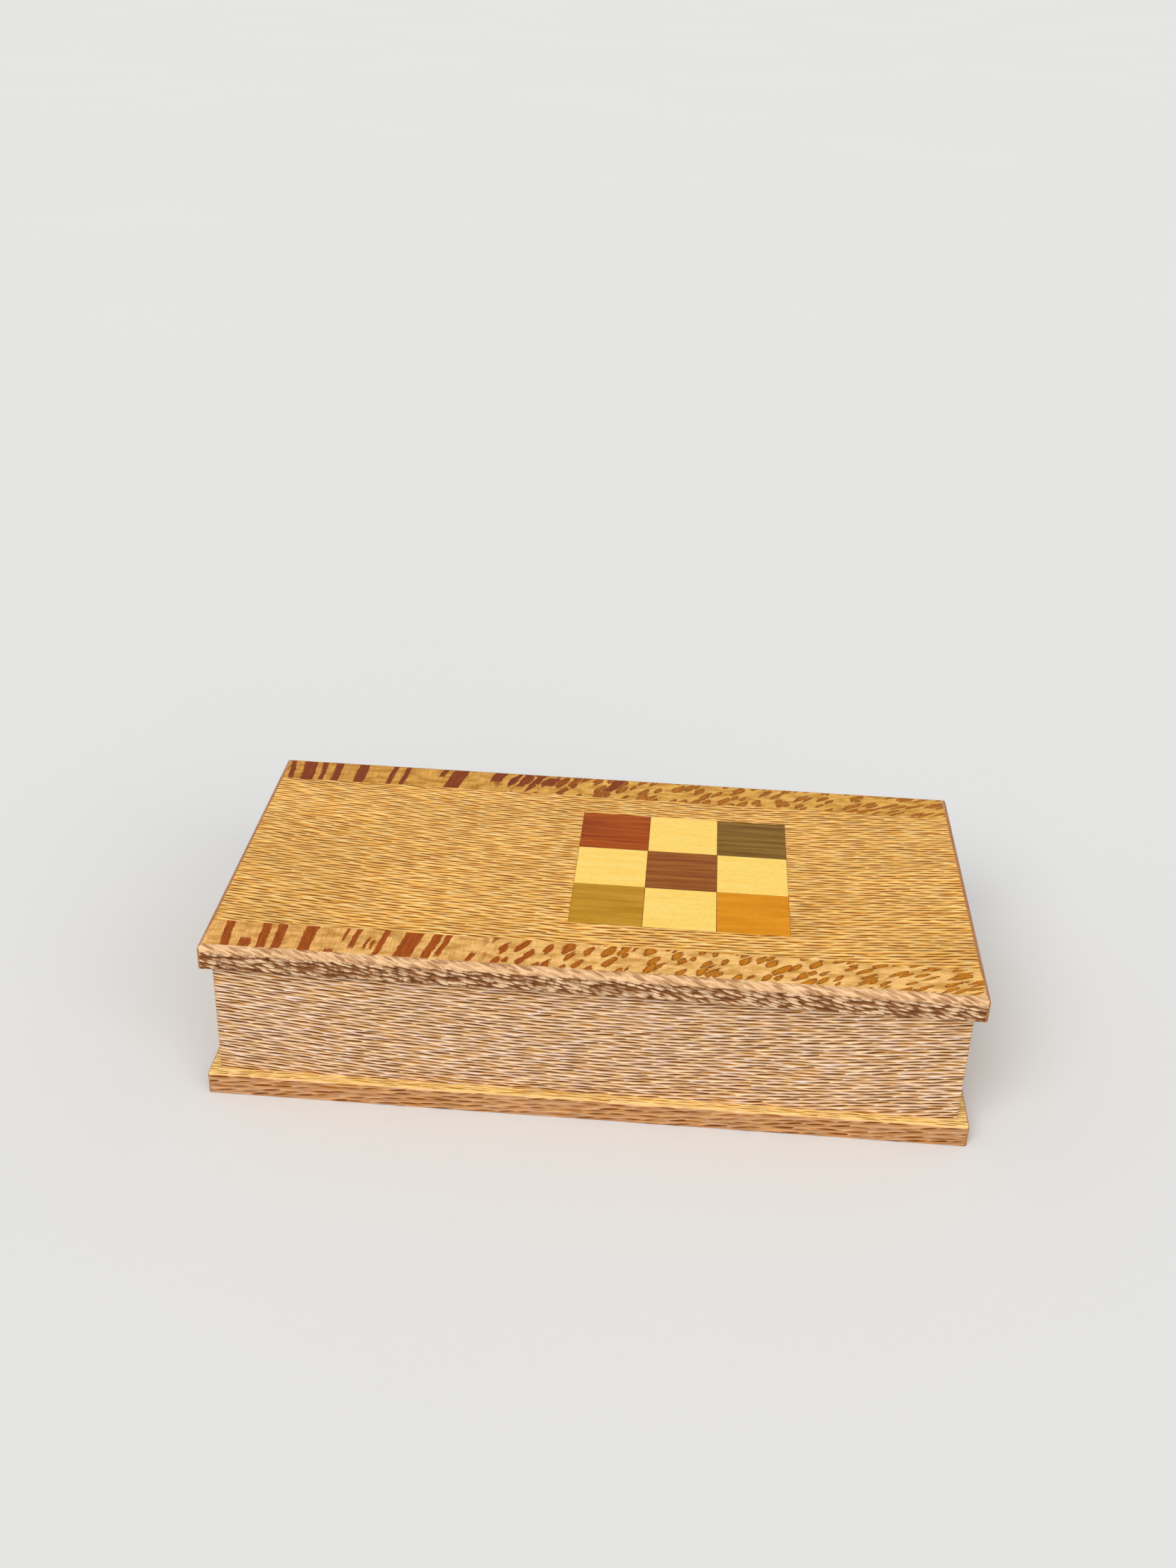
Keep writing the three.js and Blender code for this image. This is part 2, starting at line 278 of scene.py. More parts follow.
@dataclass
class Piece:
    """One finished piece of the box: what it is called, what it stands for and what it rides on."""

    name: str
    shape: Shape
    body: str
    slot: str
    material: Material
    nodes: Sequence[str]

    def make(self) -> bpy.types.Object:
        """Turn the shape into an object that rides on its body.

        Returns:
            The finished object.
        """
        for face in self.shape.faces:
            face.smooth = True
        for edge in self.shape.edges:
            edge.smooth = edge.is_manifold and edge.calc_face_angle(math.pi) < SHARP
        faces = len(self.shape.faces)
        thing = holder(self.name, self.shape)
        thing.data.materials.append(self.material)
        flatten = thing.modifiers.new("flat_faces", "WEIGHTED_NORMAL")
        flatten.keep_sharp = True
        flatten.weight = 100
        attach(thing, self.body)
        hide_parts(*self.nodes)
        log.info("%s: %d faces, stands for %s", self.name, faces, ", ".join(self.nodes))
        return thing


# Finishes


def linear(paint: Triple) -> tuple[float, float, float, float]:
    """A colour of 0 to 255 a channel, as seen, in the values that a shader takes.

    Args:
        paint: Red, green and blue as seen.

    Returns:
        The linear colour with a full alpha.
    """

    def channel(value: float) -> float:
        """One channel, made linear."""
        share = value / 255
        return share / 12.92 if share <= 0.04045 else ((share + 0.055) / 1.055) ** 2.4

    return (*(channel(value) for value in paint), 1.0)


@dataclass(frozen=True)
class Value:
    """What a node gives out: a number, a vector or a colour, with what can be done to it."""

    weave: "Weave"
    socket: bpy.types.NodeSocket

    def __add__(self, other: "Given") -> "Value":
        """The sum of this and another number."""
        return self.weave.math("ADD", self, other)

    def __sub__(self, other: "Given") -> "Value":
        """This number less another."""
        return self.weave.math("SUBTRACT", self, other)

    def __rsub__(self, other: float) -> "Value":
        """A plain number less this one."""
        return self.weave.math("SUBTRACT", other, self)

    def __mul__(self, other: "Given") -> "Value":
        """This number times another."""
        return self.weave.math("MULTIPLY", self, other)

    def __truediv__(self, other: "Given") -> "Value":
        """This number divided by another."""
        return self.weave.math("DIVIDE", self, other)

    def __abs__(self) -> "Value":
        """This number without its sign."""
        return self.weave.math("ABSOLUTE", self)

    def step(self, start: "Given", end: "Given", low: float = 0.0, high: float = 1.0) -> "Value":
        """A smooth step from low to high while this number goes from start to end."""
        inputs = dict(enumerate((self, start, end, low, high)))
        return self.weave.made("MapRange", inputs, interpolation_type="SMOOTHSTEP")

    def ramp(self, start: float, end: float, low: float = 0.0, high: float = 1.0) -> "Value":
        """A straight, clamped ramp from low to high while this number goes from start to end."""
        return self.weave.made("MapRange", dict(enumerate((self, start, end, low, high))), clamp=True)

    def tinted(self, paint: "Given", share: "Given" = 1.0) -> "Value":
        """This colour multiplied by another, as far as the share says."""
        inputs = {0: share, 6: self, 7: paint}
        return self.weave.made("Mix", inputs, 2, data_type="RGBA", blend_type="MULTIPLY")

    def shaded(self, share: "Value", shades: Shades, strength: "Given" = 1.0) -> "Value":
        """This colour multiplied by a tint that goes from the first shade to the second with the share."""
        return self.tinted(self.weave.mix(share, (*shades[0], 1), (*shades[1], 1)), strength)

    def parts(self) -> tuple["Value", "Value", "Value"]:
        """The three parts of this vector."""
        outputs = self.weave.add("SeparateXYZ", {0: self}).outputs
        return tuple(Value(self.weave, output) for output in outputs)

    def moved(self, offset: Triple) -> "Value":
        """This vector with an offset added."""
        return self.weave.made("VectorMath", {0: self, 1: offset}, operation="ADD")

    def shrunk(self, sizes: Triple) -> "Value":
        """This vector counted in steps of the given sizes."""
        return self.weave.made("VectorMath", {0: self, 1: sizes}, operation="DIVIDE")

    def cloud(self, sizes: Triple, detail: float = 2.0, rough: float = 0.5) -> "Value":
        """Soft noise over this place, in lumps of about the given sizes, in metres."""
        inputs = {"Vector": self.shrunk(sizes), "Scale": 1.0, "Detail": detail, "Roughness": rough}
        return self.weave.made("TexNoise", inputs, noise_dimensions="3D")

    def cells(self, power: float, flat: bool = False) -> tuple["Value", "Value"]:
        """Scattered cells, one to each unit of this vector.

        Args:
            power: 1 gives pointed cells and 2 round ones.
            flat: Whether only the vector's first two parts count.

        Returns:
            The distance to the nearest cell's middle, and a number from 0 to 1 that is the cell's own.
        """
        node = self.weave.add(
            "TexVoronoi",
            {"Vector": self, "Scale": 1.0, "Exponent": power, "Randomness": 0.85},
            voronoi_dimensions="2D" if flat else "3D",
            feature="F1",
            distance="MINKOWSKI",
        )
        own = Value(self.weave, node.outputs["Color"]).parts()[0]
        return Value(self.weave, node.outputs["Distance"]), own


Given = Value | float | Sequence[float]
Inputs = dict[int | str, Given]


class Weave:
    """One material's nodes, with short ways to add and join them."""

    def __init__(self, name: str, constants: Inputs | None = None) -> None:
        """Start a material that holds its surface shader, and the place and facing of each point.

        Args:
            name: The material's name.
            constants: Plain values for inputs of the surface shader.
        """
        self.material = bpy.data.materials.new(name)
        self.material.use_nodes = True
        self.tree = self.material.node_tree
        self.surface = self.tree.nodes["Principled BSDF"]
        self.fill(self.surface, constants or {})
        coordinates = self.add("TexCoord", {})
        self.place = Value(self, coordinates.outputs["Object"])
        self.facing = Value(self, coordinates.outputs["Normal"])

    def fill(self, node: bpy.types.Node, inputs: Inputs) -> None:
        """Link or set some inputs of a node.

        Args:
            node: The node to fill.
            inputs: What goes in, by an input's name or place.
        """
        for key, given in inputs.items():
            if isinstance(given, Value):
                self.tree.links.new(given.socket, node.inputs[key])
            else:
                node.inputs[key].default_value = given

    def add(self, kind: str, inputs: Inputs, **settings: str | bool) -> bpy.types.Node:
        """Add a node.

        Args:
            kind: The node's type, without its ShaderNode start.
            inputs: What goes in, by an input's name or place.
            settings: Properties to set on it.

        Returns:
            The node.
        """
        node = self.tree.nodes.new("ShaderNode" + kind)
        for key, setting in settings.items():
            setattr(node, key, setting)
        self.fill(node, inputs)
        return node

    def made(self, kind: str, inputs: Inputs, output: int = 0, **settings: str | bool) -> Value:
        """What a new node gives out at one of its outputs."""
        return Value(self, self.add(kind, inputs, **settings).outputs[output])

    def math(self, operation: str, *numbers: Given) -> Value:
        """The result of a math node."""
        return self.made("Math", dict(enumerate(numbers)), operation=operation)

    def vector(self, x: Given, y: Given, z: Given) -> Value:
        """A vector from three numbers."""
        return self.made("CombineXYZ", {0: x, 1: y, 2: z})

    def mix(self, share: Given, low: Given, high: Given) -> Value:
        """A colour between two, low at share 0 and high at share 1."""
        return self.made("Mix", {0: share, 6: low, 7: high}, 2, data_type="RGBA")

    def finish(self, colour: Value, rough: Given, height: Value, depth: float) -> Material:
        """Join colour, roughness and a fine relief to the surface.

        Args:
            colour: The surface's colour.
            rough: Its roughness.
            height: Its relief, from 0 to 1.
            depth: How deep that relief is, in metres.

        Returns:
            The material.
        """
        bump = self.made("Bump", {"Strength": 1.0, "Distance": depth, "Height": height})
        self.fill(self.surface, {"Base Color": colour, "Roughness": rough, "Normal": bump})
        return self.material


class Sawn(Enum):
    """How a board lies: its grain's axis, and how far its rays lean from the next axis, about the grain."""

    UPRIGHT_ALONG_X = (Axis.X, 0.0)
    UPRIGHT_ALONG_Y = (Axis.Y, 0.0)
    FLAT_ALONG_X = (Axis.X, math.pi / 2)
    RIFT_ALONG_X = (Axis.X, math.pi / 4)


@dataclass(frozen=True)
class BoardFrame:
    """A board's own directions: along the grain, along its rays, and across both."""

    along: Value
    ray: Value
    thin: Value

    @classmethod
    def of(cls, vector: Value, sawn: Sawn) -> "BoardFrame":
        """Split a vector into a board's own directions.

        Args:
            vector: A place or a direction in the shared frame.
            sawn: How the board lies.

        Returns:
            The vector's parts along the grain, the rays and across.
        """
        x, y, z = vector.parts()
        grain, lean = sawn.value
        along, side = (x, y) if grain is Axis.X else (y, x)
        ray = side * math.cos(lean) + z * math.sin(lean)
        return cls(along, ray, z * math.cos(lean) - side * math.sin(lean))


@dataclass(frozen=True)
class Dashes:
    """Lens-shaped dashes scattered over a face in staggered rows.

    The pitches are how far apart the dashes lie, along the grain and across it, in metres. The longest dash
    reaches half its length, and the thickest half its thickness, from its middle, in pitches.
    """

    along: float
    across: float
    half_long: float = 0.54
    half_thick: float = 0.33
    smallest: float = 0.55
    faintest: float = 0.5
    scatter: float = 0.55
    stagger: float = 0.5
    tilt: float = 0.42

    def layers(self, along: Value, thin: Value) -> tuple[Value, Value, Value, Value]:
        """The dashes, the softer border of each, and the rise from below a dash to above it.

        Args:
            along: The place along the grain.
            thin: The place across it.

        Returns:
            The share of dash, the share of border, how far up its own cell each point lies, and a number
            from 0 to 1 that is the dash's own.
        """
        weave = along.weave
        row = thin / self.across
        counted = weave.vector(along / self.along + row * self.stagger, row, 0.0)
        inputs = {"Vector": counted, "Scale": 1.0, "Randomness": self.scatter}
        node = weave.add("TexVoronoi", inputs, voronoi_dimensions="2D", feature="F1")
        own, weight, hue = Value(weave, node.outputs["Color"]).parts()
        middle = Value(weave, node.outputs["Position"])
        slid, risen, _ = weave.made("VectorMath", {0: counted, 1: middle}, operation="SUBTRACT").parts()
        aside = slid - risen * self.stagger
        above = risen + aside * hue.ramp(0.0, 1.0, -self.tilt, self.tilt)
        size = own.ramp(0.0, 1.0, self.smallest, 1.0)
        bow = weave.math("POWER", aside / (size * self.half_long), 2.0)
        lens = abs(above) / (size * self.half_thick) + bow
        strength = weight.ramp(0.1, 0.75, self.faintest, 1.0)
        return lens.step(1.0, 0.4) * strength, lens.step(1.5, 0.8) * strength, above.step(-0.3, 0.42), hue


@dataclass(frozen=True)
class ShadedEndGrain:
    """Wood sawn across: fine pores, thin paler ray lines, a dark tone partly its own, partly painted shade.
    """

    # Darker than the faces: partly the end grain's own tone, partly painted shade
    paint: Triple = (176, 120, 74)
    rays: Triple = (216, 164, 116)
    grit_size: Triple = (0.4 * MM, 0.4 * MM, 0.4 * MM)
    grit_shades: Shades = ((0.7, 0.66, 0.6), (1.22, 1.22, 1.22))
    ring_size: Triple = (1.6 * MM, 40 * MM, MM)
    ring_tint: Triple = (0.84, 0.8, 0.74)
    lines: Dashes = Dashes(14 * MM, 1.3 * MM, half_long=0.62, half_thick=0.16, faintest=0.4, scatter=0.85)

    def colour(self, ray: Value, thin: Value) -> Value:
        """The colour of the end grain.

        Args:
            ray: The place along the rays.
            thin: The place across them.

        Returns:
            The colour.
        """
        weave = ray.weave
        grit = weave.place.cloud(self.grit_size, 3.0, 0.6).step(0.3, 0.7)
        rings = weave.vector(ray, thin, 0.0).cloud(self.ring_size).step(0.48, 0.62)
        base = weave.mix(grit, (*self.grit_shades[0], 1), (*self.grit_shades[1], 1))
        base = base.tinted((*self.ring_tint, 1), rings).tinted(linear(self.paint))
        _, lines, _, _ = self.lines.layers(ray, thin)
        return weave.mix(lines * 0.7, base, linear(self.rays))


@dataclass(frozen=True)
class FlatSawnWood:
    """Oiled wood whose rays show end on, as fine dark dashes along the grain.

    The four paints are the ground below and above each dash, the border of a dash and the dash itself. The
    lean tilts the rows and the curve bends them along the board. The top scale sets how wide the rows lie
    on faces that look up, and 0 leaves them as they are. The painted top light is painted light that
    brightens the faces that look up, and arris is a painted highlight on the rounds beside them. A mirrored
    wood is alike in front and behind.
    """

    name: str
    sawn: Sawn
    ground: Triple
    pale: Triple
    border: Triple
    dash: Triple
    dashes: Dashes
    ends: bool = True
    top_scale: float = 0.0
    cloudy: float = 0.3
    lean: float = 0.0
    curve: float = 0.42
    swing: float = 1.4 * MM
    swing_size: Triple = (45 * MM, 60 * MM, 16 * MM)
    ragged: float = 2.4 * MM
    ragged_size: Triple = (3.5 * MM, 2.5 * MM, 1.2 * MM)
    amber: Triple = (188, 122, 40)
    amber_share: float = 0.7
    rough: tuple[float, float] = (0.5, 0.42)
    tone_size: Triple = (30 * MM, 50 * MM, 5 * MM)
    tone_tint: Triple = (0.95, 0.92, 0.88)
    fibre_size: Triple = (7 * MM, 4 * MM, 0.28 * MM)
    fibre_shades: Shades = ((0.74, 0.71, 0.66), (1.18, 1.18, 1.2))
    warmth_size: Triple = (5 * MM, 5 * MM, 2.2 * MM)
    warmth_shades: Shades = ((1.04, 1.0, 0.84), (0.96, 1.0, 1.14))
    cloud_size: Triple = (60 * MM, 60 * MM, 26 * MM)
    cloud_shades: Shades = ((0.92, 0.91, 0.88), (1.07, 1.07, 1.07))
    # Painted light: a tint that brightens the faces that look up
    painted_top_light: Triple = (255, 255, 255)
    # Painted highlight: a tint that brightens the rounds between faces that look up and faces that look aside
    arris: Triple = (255, 255, 255)
    mirrored: bool = False
    offset: Triple = (0.0, 0.0, 0.0)

    def material(self) -> Material:
        """Build the material.

        Returns:
            The finished material.
        """
        weave = Weave(self.name, OILED)
        x, y, z = weave.place.parts()
        if self.mirrored:
            y = abs(y) * -1.0
        board = BoardFrame.of(weave.vector(x, y, z).moved(self.offset), self.sawn)
        straight = weave.vector(board.along, board.ray, board.thin)
        swing = (straight.cloud(self.swing_size, 0.0) - 0.5) * self.swing
        bent = (straight.cloud(self.ragged_size, 1.0) - 0.5) * self.ragged
        middle = x if self.sawn.value[0] is Axis.X else y
        level = board.thin + board.along * self.lean - middle * middle * self.curve
        upward = weave.facing.parts()[2]
        if self.top_scale:
            level = level + upward.step(0.5, 0.9) * (board.ray * self.top_scale - level)
        thin = level + swing
        wood = weave.vector(board.along, board.ray, thin)

        dark, border, above, hue = self.dashes.layers(board.along + bent, thin)
        colour = weave.mix(above, linear(self.ground), linear(self.pale))
        tone = wood.cloud(self.tone_size, 3.0)
        colour = colour.tinted((*self.tone_tint, 1), tone.step(0.5, 0.68))
        colour = weave.mix(border, colour, linear(self.border))
        warm = hue.step(0.76, 0.92, 0.0, self.amber_share)
        colour = weave.mix(dark, colour, weave.mix(warm, linear(self.dash), linear(self.amber)))
        fibre = wood.cloud(self.fibre_size, 3.0, 0.6)
        colour = colour.shaded(fibre.step(0.25, 0.75), self.fibre_shades)
        colour = colour.shaded(wood.cloud(self.warmth_size).step(0.3, 0.7), self.warmth_shades)
        colour = colour.shaded(wood.cloud(self.cloud_size).step(0.3, 0.7), self.cloud_shades, self.cloudy)
        # Painted light: the faces that look up are brightened
        colour = colour.tinted(linear(self.painted_top_light), upward.step(0.4, 0.9))
        # Painted highlight on the rounds beside the faces that look up
        colour = colour.tinted(linear(self.arris), upward.step(0.1, 0.4) * upward.step(0.85, 0.55))
        # The end faces take end grain, darkened partly by painted shade
        if self.ends:
            ends = abs(BoardFrame.of(weave.facing, self.sawn).along).step(*END_FACING)
            colour = weave.mix(ends, colour, ShadedEndGrain().colour(board.ray, board.thin))
        rough = dark.ramp(0.0, 1.0, *self.rough)
        return weave.finish(colour, rough, fibre * 0.5 - dark * 0.35, GRAIN_DEPTH)


@dataclass(frozen=True)
class Bar:
    """A bar of ray wood across a strip.

    It starts and ends at two places along the strip, in millimetres, and crosses a share of its width, from
    front to back. Shares below 0 and above 1 reach past the strip's edges.
    """

    start: float
    end: float
    front: float = -0.2
    back: float = 1.2


@dataclass(frozen=True)
class QuarterSawnWood:
    """Oiled wood whose rays show broadside: bars at one end that turn to slanted flecks at the other.

    The turn is the share of the board's length at which the bars end.
    """

    node: str
    turn: float
    ground: Triple
    ground_dark: Triple
    bar: Triple
    fleck: Triple
    rim: Triple
    bars: Sequence[Bar]
    offset: Triple = (0.0, 0.0, 0.0)
    rough: tuple[float, float] = (0.48, 0.4)
    fleck_pitch: float = 4.5 * MM
    soft_turn: float = 0.015
    late_turn: float = 0.26
    rows_per_metre: tuple[float, float] = (82.0, 190.0)
    ramp_widths: int = 3
    frayed_ends: float = 4 * MM
    frayed_sides: float = 0.9 * MM
    wobble: tuple[float, float] = (1.3 * MM, 3.4 * MM)
    teeth: float = 1.0 * MM
    frayed_size: Triple = (0.5 * MM, 0.5 * MM, MM)
    wobble_size: Triple = (9 * MM, 6 * MM, MM)
    teeth_size: Triple = (3 * MM, 0.6 * MM, MM)
    patch_size: Triple = (6 * MM, 6 * MM, MM)
    grain_size: Triple = (0.7 * MM, 9 * MM, MM)
    grain_shades: Shades = ((0.8, 0.78, 0.72), (1.14, 1.14, 1.16))
    tone_size: Triple = (7 * MM, 3 * MM, MM)
    left_tint: Triple = (0.9, 0.83, 0.76)
    mark_shades: Shades = ((0.8, 0.74, 0.68), (1.2, 1.3, 1.3))
    fibre_size: Triple = (0.35 * MM, 6 * MM, 0.4 * MM)
    fibre_shades: Shades = ((0.8, 0.77, 0.72), (1.16, 1.16, 1.18))
    streak_size: Triple = (12 * MM, 0.8 * MM, 0.8 * MM)
    streak_shades: Shades = ((0.95, 0.93, 0.9), (1.1, 1.12, 1.14))
    edge_ground: Triple = (230, 196, 156)
    edge_patch: Triple = (114, 64, 28)
    edge_dash: Triple = (138, 88, 48)
    edge_shadow: Triple = (0.42, 0.34, 0.3)
    edge_lenses: Dashes = Dashes(
        4.4 * MM, 1.15 * MM, half_long=0.6, half_thick=0.42, faintest=0.4, scatter=0.9
    )
    round_ground: Triple = (233, 194, 148)
    round_patch: Triple = (180, 132, 94)
    round_shadow: Triple = (0.66, 0.56, 0.46)
    round_dashes: Dashes = Dashes(
        5.2 * MM, 1.9 * MM, half_long=0.6, half_thick=0.44, faintest=0.2, scatter=0.95
    )
    border_size: Triple = (3 * MM, MM, MM)
    edge_patch_size: Triple = (2.4 * MM, MM, 4.5 * MM)
    edge_fall: float = 0.22
    round_fall: float = 0.5
    line_fall: float = 0.2
    line_size: Triple = (4 * MM, MM, 0.3 * MM)
    line_shades: Shades = ((0.76, 0.72, 0.7), (1.18, 1.18, 1.16))

    @property
    def half_length(self) -> float:
        """Half the board's length."""
        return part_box(self.node)[1].x

    @property
    def sides(self) -> tuple[float, float]:
        """Where the board's front and back edges lie."""
        low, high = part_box(self.node)
        return low.y, high.y

    @property
    def middle_y(self) -> float:
        """Where the board's middle line lies."""
        return (self.sides[0] + self.sides[1]) / 2

    def material(self) -> Material:
        """Build the material.

        Returns:
            The finished material.
        """
        weave = Weave(self.node + "_wood", OILED)
        x, y, z = weave.place.parts()
        filled, colour = self.face(x, y)
        facing_x, facing_y, _ = weave.facing.parts()
        outward = facing_y * (1.0 if self.middle_y > 0 else -1.0)
        colour = weave.mix(outward.step(0.1, 0.24), colour, self.rounded(x, y, z))
        colour = weave.mix(outward.step(0.3, 0.5) * self.low_part(x, z), colour, self.edge(x, z))
        change = (-0.3 * self.half_length, 0.2 * self.half_length)
        fibre = weave.place.cloud(self.fibre_size, 3.0, 0.6)
        colour = colour.shaded(fibre.step(0.25, 0.75), self.fibre_shades, x.ramp(*change, 1.0, 0.35))
        streak = weave.place.cloud(self.streak_size)
        colour = colour.shaded(streak.step(0.35, 0.7), self.streak_shades, x.ramp(*change, 0.3, 1.0))
        # The end faces take end grain, darkened partly by painted shade
        colour = weave.mix(abs(facing_x).step(*END_FACING), colour, ShadedEndGrain().colour(y, z))
        rough = filled.ramp(0.0, 1.0, *self.rough)
        return weave.finish(colour, rough, fibre * 0.5 - filled * 0.2, GRAIN_DEPTH)

    def face(self, x: Value, y: Value) -> tuple[Value, Value]:
        """The broad face, where the rays lie as bars and flecks.

        Args:
            x: The place along the grain.
            y: The place across the board.

        Returns:
            1 inside a fleck and 0 outside, and the face's colour.
        """
        weave = x.weave
        flat = weave.vector(x, y, 0.0)
        along = x.ramp(-self.half_length, self.half_length)
        across = y - self.middle_y
        turn = along.step(self.turn - self.soft_turn, self.turn + self.soft_turn)
        frayed = flat.cloud(self.frayed_size, 1.0) - 0.5
        wobble = flat.cloud(self.wobble_size, 1.0) - 0.5
        teeth = flat.cloud(self.teeth_size) - 0.5
        bend = wobble * turn.ramp(0.0, 1.0, *self.wobble) + teeth * self.teeth + frayed * self.frayed_sides
        lean = along.ramp(0.0, 0.9, -0.1, 0.9) + along.ramp(0.8, 1.0, 0.0, 1.0)
        leant = x + bend - across * lean
        slanted = weave.vector(leant, y, 0.0)
        bar = self.crossed(leant, across + frayed * self.frayed_ends)

        rows = along.ramp(0.35, 0.95, *self.rows_per_metre)
        counted = weave.vector(leant / self.fleck_pitch, (across + bend) * rows, 0.0)
        distance, own = counted.moved(self.offset).cells(1.5, flat=True)
        thinner = slanted.cloud(self.patch_size, 1.0).step(0.52, 0.72, 0.0, 0.26)
        size = own.ramp(0.0, 1.0, 0.3, 0.52) - thinner * 0.6
        fleck = distance.step(size, size - 0.1)
        core = distance.step(size - 0.06, size - 0.24)
        filled = weave.math("MAXIMUM", bar, fleck * turn)

        grain = slanted.cloud(self.grain_size)
        tone = flat.cloud(self.tone_size, 3.0)
        ground = weave.mix(tone.step(0.3, 0.62), linear(self.ground_dark), linear(self.ground))
        ground = ground.shaded(grain, self.grain_shades)
        ground = ground.tinted((*self.left_tint, 1), along.ramp(0.1, 0.5, 1.0, 0.0))
        later = along.step(self.turn, self.turn + self.late_turn) * (1.0 - bar)
        heart = weave.mix(later, linear(self.bar), linear(self.fleck))
        border = weave.mix(later, linear(self.bar), linear(self.rim))
        mark = weave.mix(core, border, heart).shaded(grain.step(0.32, 0.68), self.mark_shades)
        return filled, weave.mix(filled, ground, mark)

    def crossed(self, leant: Value, across: Value) -> Value:
        """The bars of the strip's one end, each with its own reach across it.

        Args:
            leant: The place along the grain, with the bars' lean taken off.
            across: The place across the strip, from its middle line.

        Returns:
            1 on a bar and 0 between them.
        """
        weave = leant.weave
        none = (1.0, 0.0, 0.0, 1.0)
        node = weave.add("ValToRGB", {0: leant.ramp(-self.half_length, self.half_length)})
        node.color_ramp.interpolation = "CONSTANT"
        stops = node.color_ramp.elements
        stops[0].color = none
        stops[1].color = none
        for bar in self.bars:
            crossing = [(share + 1) / self.ramp_widths for share in (bar.front, bar.back)]
            for place, colour in ((bar.start, (*crossing, 0.0, 1.0)), (bar.end, none)):
                stops.new(0.5 + 0.5 * (place * MM) / self.half_length).color = colour
        front, back, _ = Value(weave, node.outputs[0]).parts()
        reach = self.ramp_widths * (self.sides[1] - self.sides[0]) / 2
        share = across.ramp(-reach, reach)
        return (share - front).step(-0.01, 0.02) * (back - share).step(-0.01, 0.02)

    def low_part(self, x: Value, z: Value) -> Value:
        """The upright part of the outer edge, with a soft, uneven border to its round.

        Args:
            x: The place along the grain.
            z: The height.

        Returns:
            1 on the upright part and 0 on the round.
        """
        round_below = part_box(self.node)[1].z - Lid.top_round
        uneven = x.weave.vector(x, 0.0, 0.0).cloud(self.border_size)
        return (z + uneven * (0.9 * MM)).step(round_below + 0.7 * MM, round_below + 0.1 * MM)

    def rounded(self, x: Value, y: Value, z: Value) -> Value:
        """The rounded edge, pale with soft slanted patches.

        Args:
            x: The place along the grain.
            y: The place across the board.
            z: The height.

        Returns:
            The rounded edge's colour.
        """
        weave = x.weave
        over = z - abs(y)
        _, patch, above, _ = self.round_dashes.layers(x, over + x * self.round_fall)
        lines = weave.vector(x, 0.0, over + x * self.line_fall).cloud(self.line_size)
        colour = weave.mix(patch, linear(self.round_ground), linear(self.round_patch))
        colour = colour.tinted((*self.round_shadow, 1), above.ramp(0.0, 0.35, 0.7, 0.0))
        return colour.shaded(lines, self.line_shades)

    def edge(self, x: Value, z: Value) -> Value:
        """The upright edge: pale lenses that fall to the right across darker upright patches.

        Args:
            x: The place along the grain.
            z: The height.

        Returns:
            The edge's colour.
        """
        weave = x.weave
        _, lens, above, _ = self.edge_lenses.layers(x, z + x * self.edge_fall)
        patch = weave.vector(x, 0.0, z).cloud(self.edge_patch_size, 1.0)
        patch = patch.step(0.5, 0.66) * x.ramp(-60 * MM, 60 * MM, 1.0, 0.4)
        ground = weave.mix(patch, linear(self.edge_dash), linear(self.edge_patch))
        ground = ground.tinted((*self.edge_shadow, 1), above.ramp(0.0, 0.4, 0.8, 0.0))
        return weave.mix(lens * patch.ramp(0.0, 1.0, 1.0, 0.4), ground, linear(self.edge_ground))


@dataclass(frozen=True)
class InlayWood:
    """A plain oiled wood, with soft streaks and fine pores along its grain.

    On the inlay squares the joint's pitch and start place the fine glue lines round them.
    """

    name: str
    light: Triple
    dark: Triple
    streak: float = 2.2 * MM
    pores: float = 0.3
    joint_pitch: float = 0.0
    joint_from: tuple[float, float] = (0.0, 0.0)
    joint_tint: Triple = (0.5, 0.36, 0.24)
    pore_size: Triple = (3.4 * MM, 0.42 * MM, 1.6 * MM)
    pore_tint: Triple = (0.55, 0.5, 0.46)
    mottle_size: Triple = (1.6 * MM, 1.1 * MM, 2 * MM)
    mottle_shades: Shades = ((0.86, 0.85, 0.84), (1.12, 1.12, 1.12))
    rough: tuple[float, float] = (0.36, 0.46)
    relief: float = 0.02 * MM

    def material(self) -> Material:
        """Build the material.

        Returns:
            The finished material.
        """
        weave = Weave(self.name, OILED)
        wood = weave.place
        streaks = wood.cloud((40 * MM, self.streak, 12 * MM), 4.0, 0.6)
        colour = weave.mix(streaks.step(0.3, 0.72), linear(self.light), linear(self.dark))
        distance, own = wood.shrunk(self.pore_size).cells(1.4)
        pore = distance.step(own.ramp(0.4, 1.0, 0.0, 0.34), 0.0)
        colour = colour.tinted((*self.pore_tint, 1), pore * self.pores)
        colour = colour.shaded(wood.cloud(self.mottle_size, 3.0, 0.6), self.mottle_shades)
        if self.joint_pitch:
            colour = colour.tinted((*self.joint_tint, 1), self.joint(wood))
        height = streaks * 0.4 - pore * 0.6
        return weave.finish(colour, streaks.ramp(0.3, 0.7, *self.rough), height, self.relief)

    def joint(self, wood: Value) -> Value:
        """The fine glue lines round the squares.

        Args:
            wood: The place on the lid.

        Returns:
            1 on a joint and 0 inside a square.
        """
        near = [
            wood.weave.math("PINGPONG", place - start, self.joint_pitch / 2)
            for place, start in zip(wood.parts(), self.joint_from)
        ]
        return wood.weave.math("MINIMUM", *near).step(0.2 * MM, 0.06 * MM)


